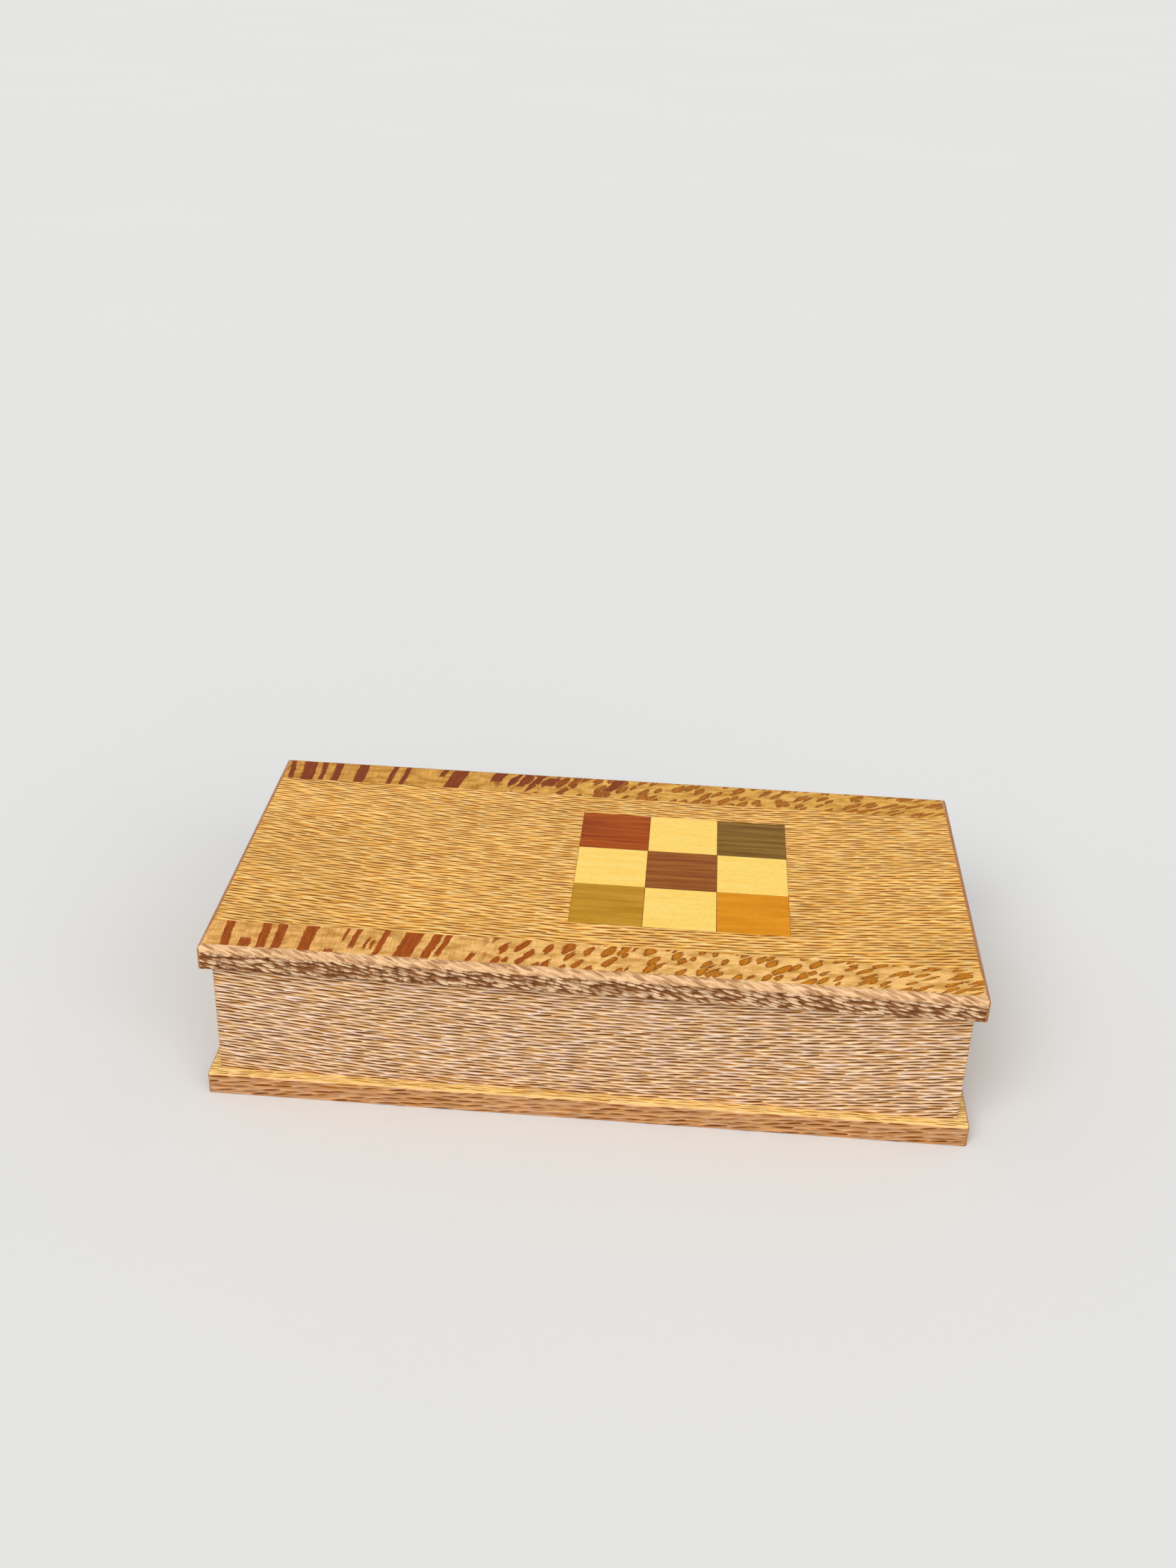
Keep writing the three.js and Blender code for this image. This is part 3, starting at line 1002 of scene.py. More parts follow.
@dataclass(frozen=True)
class Brass:
    """Lacquered brass with fine drawn lines and a little tarnish."""

    name: str = "lacquered_brass"
    bright: Triple = (216, 176, 96)
    dull: Triple = (158, 120, 62)
    tarnish_size: Triple = (5 * MM, 5 * MM, 3 * MM)
    line_size: Triple = (6 * MM, 0.12 * MM, 0.12 * MM)
    rough: tuple[float, float] = (0.2, 0.34)
    tarnish_rough: float = 0.12
    relief: float = 0.006 * MM

    def material(self) -> Material:
        """Build the material.

        Returns:
            The finished material.
        """
        weave = Weave(self.name, {"Metallic": 1.0})
        tarnish = weave.place.cloud(self.tarnish_size, 4.0, 0.6)
        lines = weave.place.cloud(self.line_size)
        colour = weave.mix(tarnish.step(0.45, 0.75), linear(self.bright), linear(self.dull))
        rough = lines.ramp(0.3, 0.7, *self.rough) + tarnish.ramp(0.4, 0.8, 0.0, self.tarnish_rough)
        return weave.finish(colour, rough, lines, self.relief)


@dataclass(frozen=True)
class Felt:
    """Pressed wool felt: matted short fibres with a soft sheen."""

    name: str = "wool_felt"
    light: Triple = (128, 44, 34)
    dark: Triple = (48, 14, 12)
    hair_size: Triple = (0.9 * MM, 0.35 * MM, 0.5 * MM)
    cross_size: Triple = (0.35 * MM, 0.9 * MM, 0.5 * MM)
    cross_offset: Triple = (0.3, 0.1, 0.0)
    mat_size: Triple = (9 * MM, 9 * MM, 9 * MM)
    mat_shades: Shades = ((0.74, 0.72, 0.72), (1.24, 1.2, 1.16))
    rough: float = 0.95
    relief: float = 0.25 * MM

    def material(self) -> Material:
        """Build the material.

        Returns:
            The finished material.
        """
        weave = Weave(self.name, {"Sheen Weight": 0.12, "Sheen Roughness": 0.6})
        hairs = weave.place.cloud(self.hair_size, 5.0, 0.7)
        cross = weave.place.moved(self.cross_offset).cloud(self.cross_size, 5.0, 0.7)
        fuzz = (hairs + cross) * 0.5
        colour = weave.mix(fuzz.step(0.4, 0.58), linear(self.dark), linear(self.light))
        colour = colour.shaded(weave.place.cloud(self.mat_size, 3.0).step(0.3, 0.7), self.mat_shades)
        return weave.finish(colour, self.rough, fuzz, self.relief)


# The woods of this box

LONG_WALL_WOOD = FlatSawnWood(
    "long_wall_wood",
    Sawn.UPRIGHT_ALONG_X,
    ground=(200, 154, 102),
    pale=(247, 220, 196),
    border=(150, 99, 44),
    dash=(82, 38, 0),
    dashes=Dashes(
        8.6 * MM, 1.24 * MM, half_long=0.6, half_thick=0.26, smallest=0.75, faintest=0.75, scatter=0.34
    ),
    ends=False,
    top_scale=0.6,
)
SHORT_WALL_WOOD = replace(
    LONG_WALL_WOOD, name="short_wall_wood", sawn=Sawn.UPRIGHT_ALONG_Y, offset=(0.31, 0.17, 0.0)
)
BASE_WOOD = FlatSawnWood(
    "base_wood",
    Sawn.RIFT_ALONG_X,
    ground=(182, 132, 86),
    pale=(207, 159, 113),
    border=(146, 88, 37),
    dash=(114, 57, 6),
    dashes=Dashes(7.8 * MM, 1.3 * MM, half_long=0.6, half_thick=0.23),
    swing=1 * MM,
    lean=-0.035,
    curve=0.0,
    amber=(176, 112, 44),
    # Painted highlight on the rounds along the base's top edges
    arris=(300, 318, 335),
    top_scale=1.6,
    mirrored=True,
    # Painted light on the top faces, brighter and greener than the wood's own colour
    painted_top_light=(326, 366, 344),
    offset=(0.0, 0.4, 0.2),
)
CENTRE_WOOD = FlatSawnWood(
    "centre_board_wood",
    Sawn.FLAT_ALONG_X,
    ground=(238, 174, 80),
    pale=(255, 219, 144),
    border=(192, 118, 0),
    dash=(122, 56, 0),
    dashes=Dashes(
        9.4 * MM, 1.6 * MM, half_long=0.58, half_thick=0.25, smallest=0.75, faintest=0.75, scatter=0.34
    ),
    offset=(0.2, 0.0, 0.3),
    swing=2 * MM,
    cloudy=1.0,
    curve=-0.52,
    amber=(176, 112, 10),
)
FRONT_STRIP_WOOD = QuarterSawnWood(
    node="lid_front_strip",
    turn=0.365,
    ground=(249, 198, 121),
    ground_dark=(207, 153, 69),
    bar=(158, 72, 0),
    fleck=(193, 117, 0),
    rim=(126, 57, 0),
    bars=(
        Bar(-124.0, -121.2),
        Bar(-118.0, -114.2, back=0.45),
        Bar(-112.2, -109.1),
        Bar(-106.6, -103.5),
        Bar(-97.6, -93.6),
        Bar(-87.9, -85.4, back=0.25),
        Bar(-84.7, -82.9, front=0.5),
        Bar(-81.0, -79.4, front=0.3),
        Bar(-76.6, -75.6, front=0.3, back=0.75),
        Bar(-74.4, -73.5, front=0.3, back=0.65),
        Bar(-72.3, -69.6),
        Bar(-64.5, -59.0),
        Bar(-55.8, -53.0),
        Bar(-51.4, -49.2, front=0.2),
        Bar(-40.4, -38.6, back=0.45),
    ),
)
BACK_STRIP_WOOD = QuarterSawnWood(
    node="lid_back_strip",
    turn=0.33,
    offset=(5.3, 0.4, 0.0),
    ground=(228, 176, 86),
    ground_dark=(190, 132, 44),
    bar=(130, 52, 0),
    fleck=(174, 102, 0),
    rim=(122, 54, 0),
    bars=(
        Bar(-128.5, -125.7),
        Bar(-122.9, -117.9),
        Bar(-116.0, -113.5),
        Bar(-110.4, -107.3),
        Bar(-101.3, -97.3),
        Bar(-87.9, -86.0),
        Bar(-83.5, -81.0),
        Bar(-68.5, -67.3, front=0.5),
        Bar(-64.4, -58.5),
        Bar(-48.5, -44.5, front=0.4),
        Bar(-40.7, -38.2, front=0.35),
        Bar(-37.2, -34.2, front=0.25),
        Bar(-32.6, -29.2, front=0.4),
        Bar(-26.8, -23.2, front=0.35, back=0.8),
        Bar(-2.2, 1.2, front=0.25),
    ),
)
TONGUE_WOOD = InlayWood("tongue_wood", (112, 68, 40), (84, 48, 28), 1.0 * MM, 0.5)

# The woods of the squares: light and dark paint, width of the streaks, and strength of the pores
SQUARE_WOODS = {
    "red_brown": ((178, 82, 0), (136, 50, 0), 2.0 * MM, 0.5),
    "pale": ((255, 220, 118), (255, 210, 100), 3.0 * MM, 0.1),
    "grey_brown": ((146, 108, 40), (102, 66, 2), 1.2 * MM, 0.6),
    "purple_brown": ((166, 98, 34), (122, 58, 6), 2.0 * MM, 0.4),
    "olive": ((202, 150, 38), (176, 124, 14), 2.4 * MM, 0.4),
    "orange": ((232, 152, 20), (212, 132, 0), 4.0 * MM, 0.25),
}
SQUARES = {
    "back_left": "red_brown",
    "back_middle": "pale",
    "back_right": "grey_brown",
    "middle_left": "pale",
    "centre": "purple_brown",
    "middle_right": "pale",
    "front_left": "olive",
    "front_middle": "pale",
    "front_right": "orange",
}


# The box


@dataclass
class Screw:
    """A countersunk, slotted wood screw. All that isn't a length of its own is a share of its head."""

    place: Vector
    head: float
    length: float
    points_up: bool
    slot_turn: float = 0.0
    shank_share: float = 0.52
    soft_share: float = 0.04
    slot_half_share: float = 0.13
    slot_depth_share: float = 0.25
    point_share: float = 0.25
    sides: int = 40

    @classmethod
    def of_node(cls, node: str, points_up: bool, slot_turn: float = 0.0) -> "Screw":
        """Take a screw's place and size from its solid.

        Args:
            node: The solid's name.
            points_up: Whether its point is above its head.
            slot_turn: How far the slot is turned about the screw.

        Returns:
            The screw.
        """
        low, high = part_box(node)
        middle = (low + high) / 2
        place = Vector((middle.x, middle.y, low.z if points_up else high.z))
        return cls(place, (high.y - low.y) / 2, high.z - low.z, points_up, slot_turn)

    @property
    def shank(self) -> float:
        """The radius of the shank."""
        return self.shank_share * self.head

    def placed(self, shape: Shape) -> Shape:
        """Move a shape from the screw's own frame, head face up at zero, to its place.

        Args:
            shape: The shape to move.

        Returns:
            The same shape.
        """
        flip = Matrix.Rotation(math.pi if self.points_up else 0, 4, "X")
        turn = Matrix.Rotation(self.slot_turn, 4, "Z")
        bmesh.ops.transform(shape, matrix=Matrix.Translation(self.place) @ flip @ turn, verts=shape.verts)
        return shape

    def turned(self, profile: Sequence[tuple[float, float]]) -> Shape:
        """Turn a half profile about the screw's axis.

        Args:
            profile: Radius and height of each point, from the axis to the axis.

        Returns:
            The turned shape.
        """
        shape = bmesh.new()
        points = [shape.verts.new((radius, 0, height)) for radius, height in profile]
        rim = [shape.edges.new(pair) for pair in zip(points, points[1:])]
        bmesh.ops.spin(
            shape,
            geom=[*points, *rim],
            axis=(0, 0, 1),
            cent=(0, 0, 0),
            angle=math.tau,
            steps=self.sides,
            use_merge=True,
        )
        bmesh.ops.remove_doubles(shape, verts=shape.verts, dist=WELD)
        bmesh.ops.recalc_face_normals(shape, faces=shape.faces)
        return shape

    def shape(self) -> Shape:
        """The screw itself, with its slot.

        Returns:
            The finished shape, in place.
        """
        soft = self.soft_share * self.head
        profile = [
            (0, 0),
            (self.head - soft, 0),
            (self.head, -soft),
            (self.shank, -(self.head - self.shank)),
            (self.shank, -self.length + self.point_share * self.length),
            (0, -self.length),
        ]
        half_slot = self.slot_half_share * self.head
        reach = 1.5 * self.head
        depth = self.slot_depth_share * self.head
        slot = block(Vector((-reach, -half_slot, -depth)), Vector((reach, half_slot, reach)))
        return self.placed(carved(self.turned(profile), Cut.AWAY, [slot]))

    def hole(self, clearance: float = 0.1 * MM, plate: float = 12 * MM) -> Shape:
        """The hole that the screw passes through, open above its head.

        Args:
            clearance: How much wider the hole is than the screw.
            plate: How deep the hole goes.

        Returns:
            The cutter, in place.
        """
        wide = self.head + clearance
        narrow = self.shank + clearance
        neck = -self.head + self.shank
        profile = [(0, MM), (wide, MM), (wide, 0), (narrow, neck), (narrow, -plate), (0, -plate)]
        return self.placed(self.turned(profile))


@dataclass
class Base:
    """The base board and the screws that hold it to the walls."""

    top_round: float = 1.0 * MM
    bottom_round: float = 0.5 * MM
    corner_round: float = 1.2 * MM
    screw_count: int = 6

    def build(self, wood: Material, brass: Material) -> None:
        """Make the board with its countersunk holes, and the screws.

        Args:
            wood: The board's finish.
            brass: The screws' finish.
        """
        low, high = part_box("base_board")
        shape = panel(low, high, self.top_round, self.bottom_round, self.corner_round)
        holes = []
        for number in range(1, self.screw_count + 1):
            node = f"base_screw_{number}"
            screw = Screw.of_node(node, points_up=True)
            holes.append(screw.hole())
            Piece(f"{node}_turned", screw.shape(), "box", "brass", brass, [node]).make()
        shape = carved(shape, Cut.AWAY, holes)
        Piece("base_panel", shape, "box", "base_wood", wood, ["base_board"]).make()


@dataclass
class Walls:
    """The four mitred walls and the tongues that hold their corners."""

    corner_round: float = 0.8 * MM
    arris: float = 0.25 * MM
    slot_growth: Triple = (1.02, 1.02, 1.1)

    def build(self, long_wood: Material, short_wood: Material, hinges: "Hinges") -> None:
        """Make the walls.

        Args:
            long_wood: The finish of the front and back.
            short_wood: The finish of the two ends.
            hinges: The hinges that are let into the back wall.
        """
        front_low, front_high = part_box("front_wall")
        left_low, left_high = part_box("left_wall")
        half_length = -left_low.x
        half_width = -front_low.y
        thickness = left_high.x - left_low.x
        turns = {"front": 0.0, "right": math.pi / 2, "back": math.pi, "left": 1.5 * math.pi}
        for side, turn in turns.items():
            long_side = side in ("front", "back")
            half, face = (half_length, half_width) if long_side else (half_width, half_length)
            low = Vector((-half, -face, front_low.z))
            high = Vector((half, -face + thickness, front_high.z))
            shape = self.wall(low, high)
            bmesh.ops.rotate(shape, matrix=Matrix.Rotation(turn, 3, "Z"), verts=shape.verts)
            cutters = self.tongue_slots() + (hinges.wall_cuts() if side == "back" else [])
            shape = carved(shape, Cut.AWAY, cutters)
            wood = long_wood if long_side else short_wood
            Piece(f"{side}_side", shape, "box", "body_wood", wood, [f"{side}_wall"]).make()

    def wall(self, low: Vector, high: Vector) -> Shape:
        """A wall along X with its outer face at its lowest Y, mitred at both ends.

        Args:
            low: The lowest corner before mitring.
            high: The highest corner.

        Returns:
            The wall.
        """
        shape = block(low, high)
        outer = edges_along(shape, Axis.Z, lambda place: place.y < low.y + MM)
        round_over(shape, outer, self.corner_round, 8)
        for sign in (-1, 1):
            sliced(shape, Vector((sign * high.x, low.y, low.z)), Vector((sign, 1, 0)).normalized())
        round_over(shape, edges_along(shape, Axis.X, lambda place: True), self.arris, 3)
        return shape

    def tongue_slots(self) -> list[Shape]:
        """Make the slots that the corner tongues stand in.

        Returns:
            Their cutters, a little larger than the tongues.
        """
        cutters = []
        for corner in CORNERS:
            node = f"corner_spline_{corner}"
            tongue = bmesh.new()
            tongue.from_mesh(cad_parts[node].data)
            bmesh.ops.remove_doubles(tongue, verts=tongue.verts, dist=TOUCH)
            low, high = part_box(node)
            middle = Matrix.Translation((low + high) / 2)
            grow = middle @ Matrix.Diagonal((*self.slot_growth, 1)) @ middle.inverted()
            bmesh.ops.transform(tongue, matrix=grow, verts=tongue.verts)
            cutters.append(tongue)
        return cutters

    def dress_tongues(self, wood: Material) -> None:
        """Give the tongues their finish.

        Args:
            wood: The finish.
        """
        for corner in CORNERS:
            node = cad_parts[f"corner_spline_{corner}"]
            for place in node.material_slots:
                place.material = wood
            log.info("%s: finished in %d places", node.name, len(node.material_slots))


@dataclass
class Lid:
    """The lid: three boards glued edge to edge, with nine squares let in."""

    top_round: float = 2.5 * MM
    bottom_round: float = 1.2 * MM
    corner_round: float = 2.0 * MM
    joint_arris: float = 0.12 * MM
    inlay_arris: float = 0.13 * MM

    def build(self, woods: dict[str, Material], hinges: "Hinges") -> None:
        """Make the three boards.

        Args:
            woods: Each board's finish, by the name of its solid.
            hinges: The hinges that are let into the underside.
        """
        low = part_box("lid_front_strip")[0]
        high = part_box("lid_back_strip")[1]
        joints = [corner.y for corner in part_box("lid_centre_board")]
        spans = {
            "lid_front_strip": (None, joints[0], "lid_strip_wood"),
            "lid_centre_board": (*joints, "lid_board_wood"),
            "lid_back_strip": (joints[1], None, "lid_strip_wood"),
        }

        def on_seam(place: Vector) -> bool:
            """Whether an edge's middle lies on a seam of the top."""
            return place.z > high.z - NEAR and min(abs(place.y - joint) for joint in joints) < NEAR

        for node, (start, end, slot) in spans.items():
            shape = panel(low, high, self.top_round, self.bottom_round, self.corner_round)
            if start is not None:
                sliced(shape, Vector((0, start, 0)), Vector((0, -1, 0)))
            if end is not None:
                sliced(shape, Vector((0, end, 0)), Vector((0, 1, 0)))
            round_over(shape, edges_along(shape, Axis.X, on_seam), self.joint_arris, 2)
            if node == "lid_centre_board":
                shape = carved(shape, Cut.AWAY, [self.checker_bed()])
            if node == "lid_back_strip":
                shape = carved(shape, Cut.AWAY, hinges.lid_cuts())
            Piece(node.replace("lid", "top"), shape, "lid", slot, woods[node], [node]).make()

    def checker_bed(self) -> Shape:
        """The cutter for the shallow bed that the squares lie in."""
        return block(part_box("inlay_front_left")[0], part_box("inlay_back_right")[1] + Axis.Z.step(MM))

    def inlay(self) -> None:
        """Make the squares, each with a fine arris so that the joints read."""
        low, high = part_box("inlay_front_left")
        fitted = {"joint_pitch": high.x - low.x, "joint_from": (low.x, low.y)}
        woods = {
            kind: InlayWood(f"{kind}_square", *paints, **fitted).material()
            for kind, paints in SQUARE_WOODS.items()
        }
        for place, kind in SQUARES.items():
            node = f"inlay_{place}"
            low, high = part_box(node)
            shape = block(low, high)
            round_over(shape, edges_at_top(shape, high.z), self.inlay_arris, 2)
            Piece(f"square_{place}", shape, "lid", f"{kind}_wood", woods[kind], [node]).make()


class Leaf(Enum):
    """Which leaf of a hinge, by the body that it rides on."""

    BOX = "box"
    LID = "lid"


@dataclass
class Hinges:
    """Two brass butt hinges, let in flush, on one pin line.

    Each side has its own start for the turns of its screw slots.
    """

    sides: dict[str, float] = field(default_factory=lambda: {"left": 0.4, "right": 1.3})
    slot_turn: float = 0.7
    knuckles: int = 5
    knuckle_gap: float = 0.25 * MM
    barrel: float = 1.6 * MM
    relief: float = 2.0 * MM
    bore: float = 0.9 * MM
    pin: float = 0.8 * MM
    pin_round: float = 0.2 * MM
    chamfer: float = 0.14 * MM
    leaf_thickness: float = 1.0 * MM
    bed_clearance: float = 0.15 * MM
    plate_round: float = 0.4 * MM
    notch_depth: float = 1.3 * MM
    notch_reach: float = 5.0 * MM

    def pin_line(self, side: str) -> tuple[Vector, float]:
        """The middle of a hinge's pin, and the hinge's length."""
        low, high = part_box(f"hinge_{side}_pin")
        return (low + high) / 2, high.x - low.x

    def plate(self, side: str, leaf: Leaf) -> tuple[Vector, Vector]:
        """The corners of a leaf's flat plate, up to the pin line.

        Args:
            side: Which hinge, left or right.
            leaf: Which leaf.

        Returns:
            Its lowest and highest corner.
        """
        middle, length = self.pin_line(side)
        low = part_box(f"hinge_{side}_{leaf.value}_leaf")[0]
        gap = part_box("lid_centre_board")[0].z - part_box("front_wall")[1].z
        start = middle.z - gap / 2 - self.leaf_thickness if leaf is Leaf.BOX else middle.z + gap / 2
        return (
            Vector((middle.x - length / 2, low.y, start)),
            Vector((middle.x + length / 2, middle.y, start + self.leaf_thickness)),
        )

    def wall_cuts(self) -> list[Shape]:
        """Make room for the hinges in the back wall.

        Returns:
            Cutters for the beds and coves.
        """
        cutters = []
        for side in self.sides:
            low, high = self.plate(side, Leaf.BOX)
            middle, length = self.pin_line(side)
            room = Vector((self.bed_clearance, self.bed_clearance, 0))
            cutters.append(block(low - room, high + room + Vector((0, MM, MM))))
            cutters.append(bar_along_x(self.relief, length + 2 * self.bed_clearance, middle))
        return cutters

    def lid_cuts(self) -> list[Shape]:
        """Make room for the hinges in the lid's underside.

        Returns:
            Cutters for the beds and barrel notches.
        """
        cutters = []
        for side in self.sides:
            low, high = self.plate(side, Leaf.LID)
            middle, _ = self.pin_line(side)
            room = Vector((self.bed_clearance, self.bed_clearance, 0))
            far = Axis.Y.step(self.notch_reach)
            cutters.append(block(low - room - Axis.Z.step(MM), high + room + far))
            notch_low = Vector((low.x - self.bed_clearance, middle.y - self.relief, low.z - self.notch_depth))
            notch_high = Vector((high.x + self.bed_clearance, middle.y, middle.z + self.relief)) + far
            cutters.append(block(notch_low, notch_high))
        return cutters

    def leaf(self, side: str, leaf: Leaf, screws: list[Screw]) -> Shape:
        """One leaf: its plate, its own knuckles and the room for the other leaf's.

        Args:
            side: Which hinge.
            leaf: Which leaf.
            screws: The screws that pass through it.

        Returns:
            The leaf.
        """
        middle, length = self.pin_line(side)
        low, high = self.plate(side, leaf)
        first_own = 0 if leaf is Leaf.BOX else 1
        width = (length - (self.knuckles - 1) * self.knuckle_gap) / self.knuckles
        plate = block(low, high)
        inner = edges_along(plate, Axis.Z, lambda place: place.y < low.y + 0.1 * MM)
        round_over(plate, inner, self.plate_round, 5)
        own = []
        room = []
        for index in range(self.knuckles):
            start = middle.x - length / 2 + index * (width + self.knuckle_gap)
            if index % 2 == first_own:
                knuckle = bar_along_x(self.barrel, width, Vector((start + width / 2, middle.y, middle.z)))
                round_over(knuckle, edges_across_x(knuckle), self.chamfer, 2)
                own.append(knuckle)
            else:
                clear = Vector((self.knuckle_gap, 0, MM))
                near = Vector((start, middle.y - self.barrel - self.knuckle_gap, low.z))
                far = Vector((start + width, middle.y + MM, high.z))
                room.append(block(near - clear, far + clear))
        shape = carved(carved(plate, Cut.AWAY, room), Cut.JOIN, own)
        bore = bar_along_x(self.bore, length + 2 * MM, middle)
        return carved(shape, Cut.AWAY, [bore, *[screw.hole() for screw in screws]])

    def build(self, brass: Material) -> None:
        """Make both hinges.

        Args:
            brass: Their finish.
        """
        for side, first_turn in self.sides.items():
            hinge = f"hinge_{side}"
            middle, length = self.pin_line(side)
            pin = bar_along_x(self.pin, length, middle)
            round_over(pin, edges_across_x(pin), self.pin_round, 3)
            Piece(f"{hinge}_rod", pin, "box", "brass", brass, [f"{hinge}_pin"]).make()
            for leaf in Leaf:
                body = leaf.value
                screws = []
                for number in (1, 2):
                    node = f"{hinge}_{body}_screw_{number}"
                    turn = self.slot_turn * number + first_turn
                    screws.append(Screw.of_node(node, points_up=leaf is Leaf.LID, slot_turn=turn))
                    Piece(f"{node}_turned", screws[-1].shape(), body, "brass", brass, [node]).make()
                shape = self.leaf(side, leaf, screws)
                Piece(f"{hinge}_{body}_plate", shape, body, "brass", brass, [f"{hinge}_{body}_leaf"]).make()


@dataclass
class Lining:
    """The felt glued to the floor of the box."""

    steps: int = 90
    soft: float = 0.5 * MM
    unevenness: float = 0.12 * MM
    lumps: float = 140.0

    def build(self, felt: Material) -> None:
        """Make the felt sheet, a little uneven on top and soft at its edges.

        Args:
            felt: Its finish.
        """
        low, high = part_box("floor_felt")
        shape = block(low, high)
        round_over(shape, edges_at_top(shape, high.z), self.soft, 4)
        for axis, count in ((Axis.X, self.steps), (Axis.Y, self.steps // 2)):
            for step in range(1, count):
                place = low.lerp(high, step / count)
                parts = [*shape.verts, *shape.edges, *shape.faces]
                bmesh.ops.bisect_plane(shape, geom=parts, dist=TOUCH, plane_co=place, plane_no=axis.step(1))
        for vert in shape.verts:
            if vert.co.z > high.z - NEAR:
                vert.co.z -= self.unevenness * (0.5 + 0.5 * noise.noise(vert.co * self.lumps))
        sheet = Piece("felt_lining", shape, "box", "felt", felt, ["floor_felt"]).make()


# The studio


@dataclass
class Camera:
    """The photograph's viewpoint, in the box's frame."""

    place: Vector = field(default_factory=lambda: Vector((23.2, -521.8, 380.9)) * MM)
    down: float = math.radians(28.71)
    yaw: float = math.radians(-3.24)
    roll: float = math.radians(2.0)
    focal_px: float = 2385.8
    tall_px: float = 2212.0
    sensor: float = 36.0
    nearest: float = 0.01
    farthest: float = 50.0

    def build(self) -> None:
        """Make the camera and set it as the scene's."""
        data = bpy.data.cameras.new("camera")
        data.sensor_width = self.sensor
        data.lens = self.focal_px / self.tall_px * self.sensor
        data.clip_start = self.nearest
        data.clip_end = self.farthest
        camera = bpy.data.objects.new("camera", data)
        level = Vector((math.sin(self.yaw), math.cos(self.yaw), 0))
        right = Vector((math.cos(self.yaw), -math.sin(self.yaw), 0))
        ahead = level * math.cos(self.down) - Vector((0, 0, math.sin(self.down)))
        up = level * math.sin(self.down) + Vector((0, 0, math.cos(self.down)))
        rolled_right = right * math.cos(self.roll) + up * math.sin(self.roll)
        rolled_up = up * math.cos(self.roll) - right * math.sin(self.roll)
        turn = Matrix((rolled_right, rolled_up, -ahead)).transposed().to_4x4()
        camera.matrix_world = Matrix.Translation(self.place) @ turn
        bpy.context.scene.collection.objects.link(camera)
        bpy.context.scene.camera = camera


@dataclass(frozen=True)
class Lamp:
    """A broad, even lamp, far off: the way to it from the box, and its power in watts a square metre."""

    name: str
    towards: Triple
    power: float
    spread: float = math.radians(40)

    def build(self) -> None:
        """Make the lamp."""
        data = bpy.data.lights.new(self.name, "SUN")
        data.angle = self.spread
        data.energy = self.power
        lamp = bpy.data.objects.new(self.name, data)
        lamp.rotation_mode = "QUATERNION"
        lamp.rotation_quaternion = (-Vector(self.towards)).to_track_quat("-Z", "Y")
        bpy.context.scene.collection.objects.link(lamp)


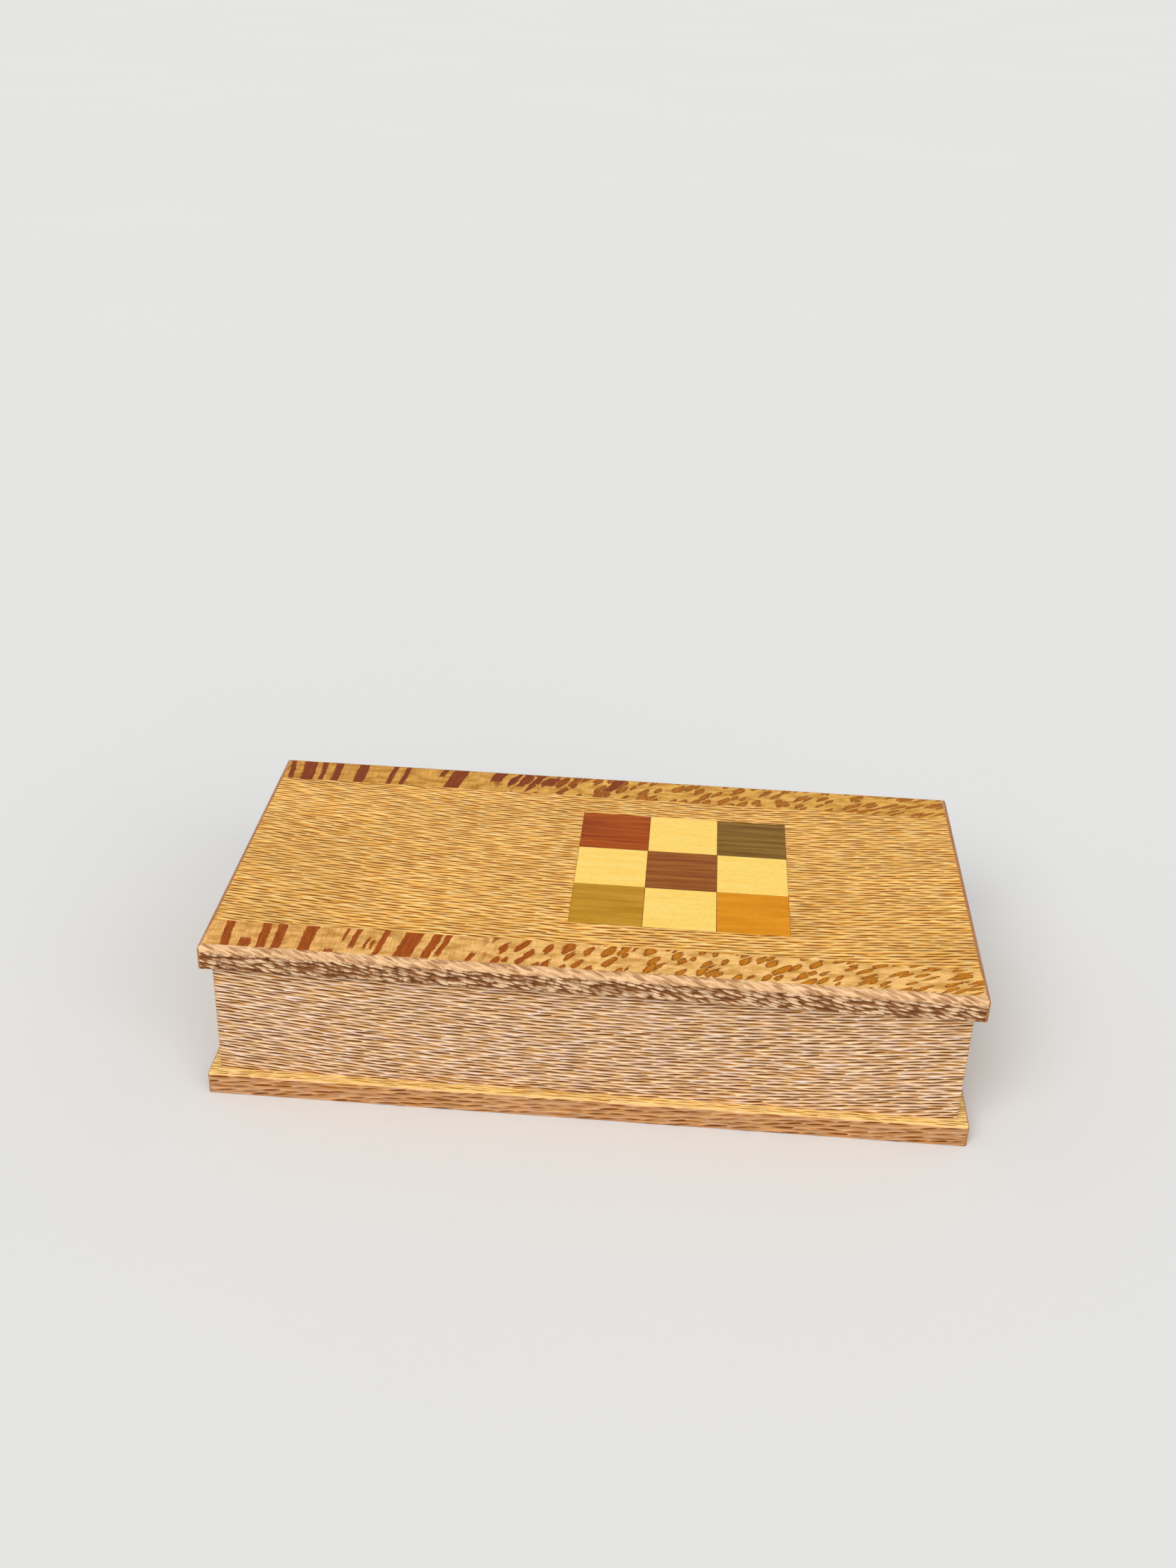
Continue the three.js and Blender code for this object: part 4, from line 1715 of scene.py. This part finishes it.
@dataclass
class Studio:
    """A pale floor under soft, plain light.

    The floor is open beneath the box, so that the underside is lit.
    """

    floor_half: float = 14.0
    opening: float = 0.3 * MM
    sky: float = 0.5
    backdrop: float = 0.81
    key: Lamp = Lamp("key", (-0.35, -0.8, 0.85), 1.75)
    fill: Lamp = Lamp("fill", (0.75, -0.8, 0.6), 0.7)
    floor_paints: Shades = ((226, 226, 224), (230, 230, 229))
    floor_rough: float = 0.9
    floor_relief: float = 0.0001 * MM
    floor_mottle: Triple = (0.4, 0.4, 0.4)

    def build(self) -> None:
        """Make the floor, the lamps and the world."""
        low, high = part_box("base_board")
        inset = self.opening
        rings = [
            [(-self.floor_half, -self.floor_half), (self.floor_half, self.floor_half)],
            [(low.x + inset, low.y + inset), (high.x - inset, high.y - inset)],
        ]
        shape = bmesh.new()
        outer, inner = [
            [shape.verts.new((x, y, 0)) for x, y in ((x0, y0), (x1, y0), (x1, y1), (x0, y1))]
            for (x0, y0), (x1, y1) in rings
        ]
        for corner in range(4):
            after = (corner + 1) % 4
            shape.faces.new([outer[corner], outer[after], inner[after], inner[corner]])
        floor = holder("floor", shape)
        floor.data.materials.append(self.floor_finish())
        self.key.build()
        self.fill.build()
        self.light_the_sky()
        bpy.context.scene.view_settings.view_transform = "Standard"

    def light_the_sky(self) -> None:
        """Make the world: an even sky that shows brighter behind the floor than it lights."""
        world = bpy.data.worlds.new("studio")
        bpy.context.scene.world = world
        world.use_nodes = True
        nodes = world.node_tree.nodes
        background = nodes["Background"]
        background.inputs["Color"].default_value = (1, 1, 1, 1)
        path = nodes.new("ShaderNodeLightPath")
        seen = nodes.new("ShaderNodeMath")
        seen.operation = "MAXIMUM"
        strength = nodes.new("ShaderNodeMapRange")
        strength.inputs["To Min"].default_value = self.sky
        strength.inputs["To Max"].default_value = self.backdrop
        links = world.node_tree.links
        links.new(path.outputs["Is Camera Ray"], seen.inputs[0])
        links.new(path.outputs["Is Glossy Ray"], seen.inputs[1])
        links.new(seen.outputs[0], strength.inputs["Value"])
        links.new(strength.outputs[0], background.inputs["Strength"])

    def floor_finish(self) -> Material:
        """A matt, pale finish for the floor, seen through from beneath.

        Returns:
            The material.
        """
        weave = Weave("pale_floor")
        mottle = weave.place.cloud(self.floor_mottle)
        colour = weave.mix(mottle, *[linear(paint) for paint in self.floor_paints])
        material = weave.finish(colour, self.floor_rough, mottle, self.floor_relief)
        behind = Value(weave, weave.add("NewGeometry", {}).outputs["Backfacing"])
        surface = Value(weave, weave.surface.outputs[0])
        through = weave.made("MixShader", {0: behind, 1: surface, 2: weave.made("BsdfTransparent", {})})
        weave.fill(weave.tree.nodes["Material Output"], {"Surface": through})
        return material


def main() -> None:
    """Build the whole box and its studio, in order."""
    logging.basicConfig(level=logging.INFO, format="%(message)s")
    Camera().build()
    Studio().build()

    brass = Brass().material()
    hinges = Hinges()
    walls = Walls()
    lid = Lid()
    Base().build(BASE_WOOD.material(), brass)
    walls.build(LONG_WALL_WOOD.material(), SHORT_WALL_WOOD.material(), hinges)
    walls.dress_tongues(TONGUE_WOOD.material())
    Lining().build(Felt().material())
    boards = {
        "lid_front_strip": FRONT_STRIP_WOOD.material(),
        "lid_centre_board": CENTRE_WOOD.material(),
        "lid_back_strip": BACK_STRIP_WOOD.material(),
    }
    lid.build(boards, hinges)
    lid.inlay()
    hinges.build(brass)


if __name__ == "__main__":
    main()
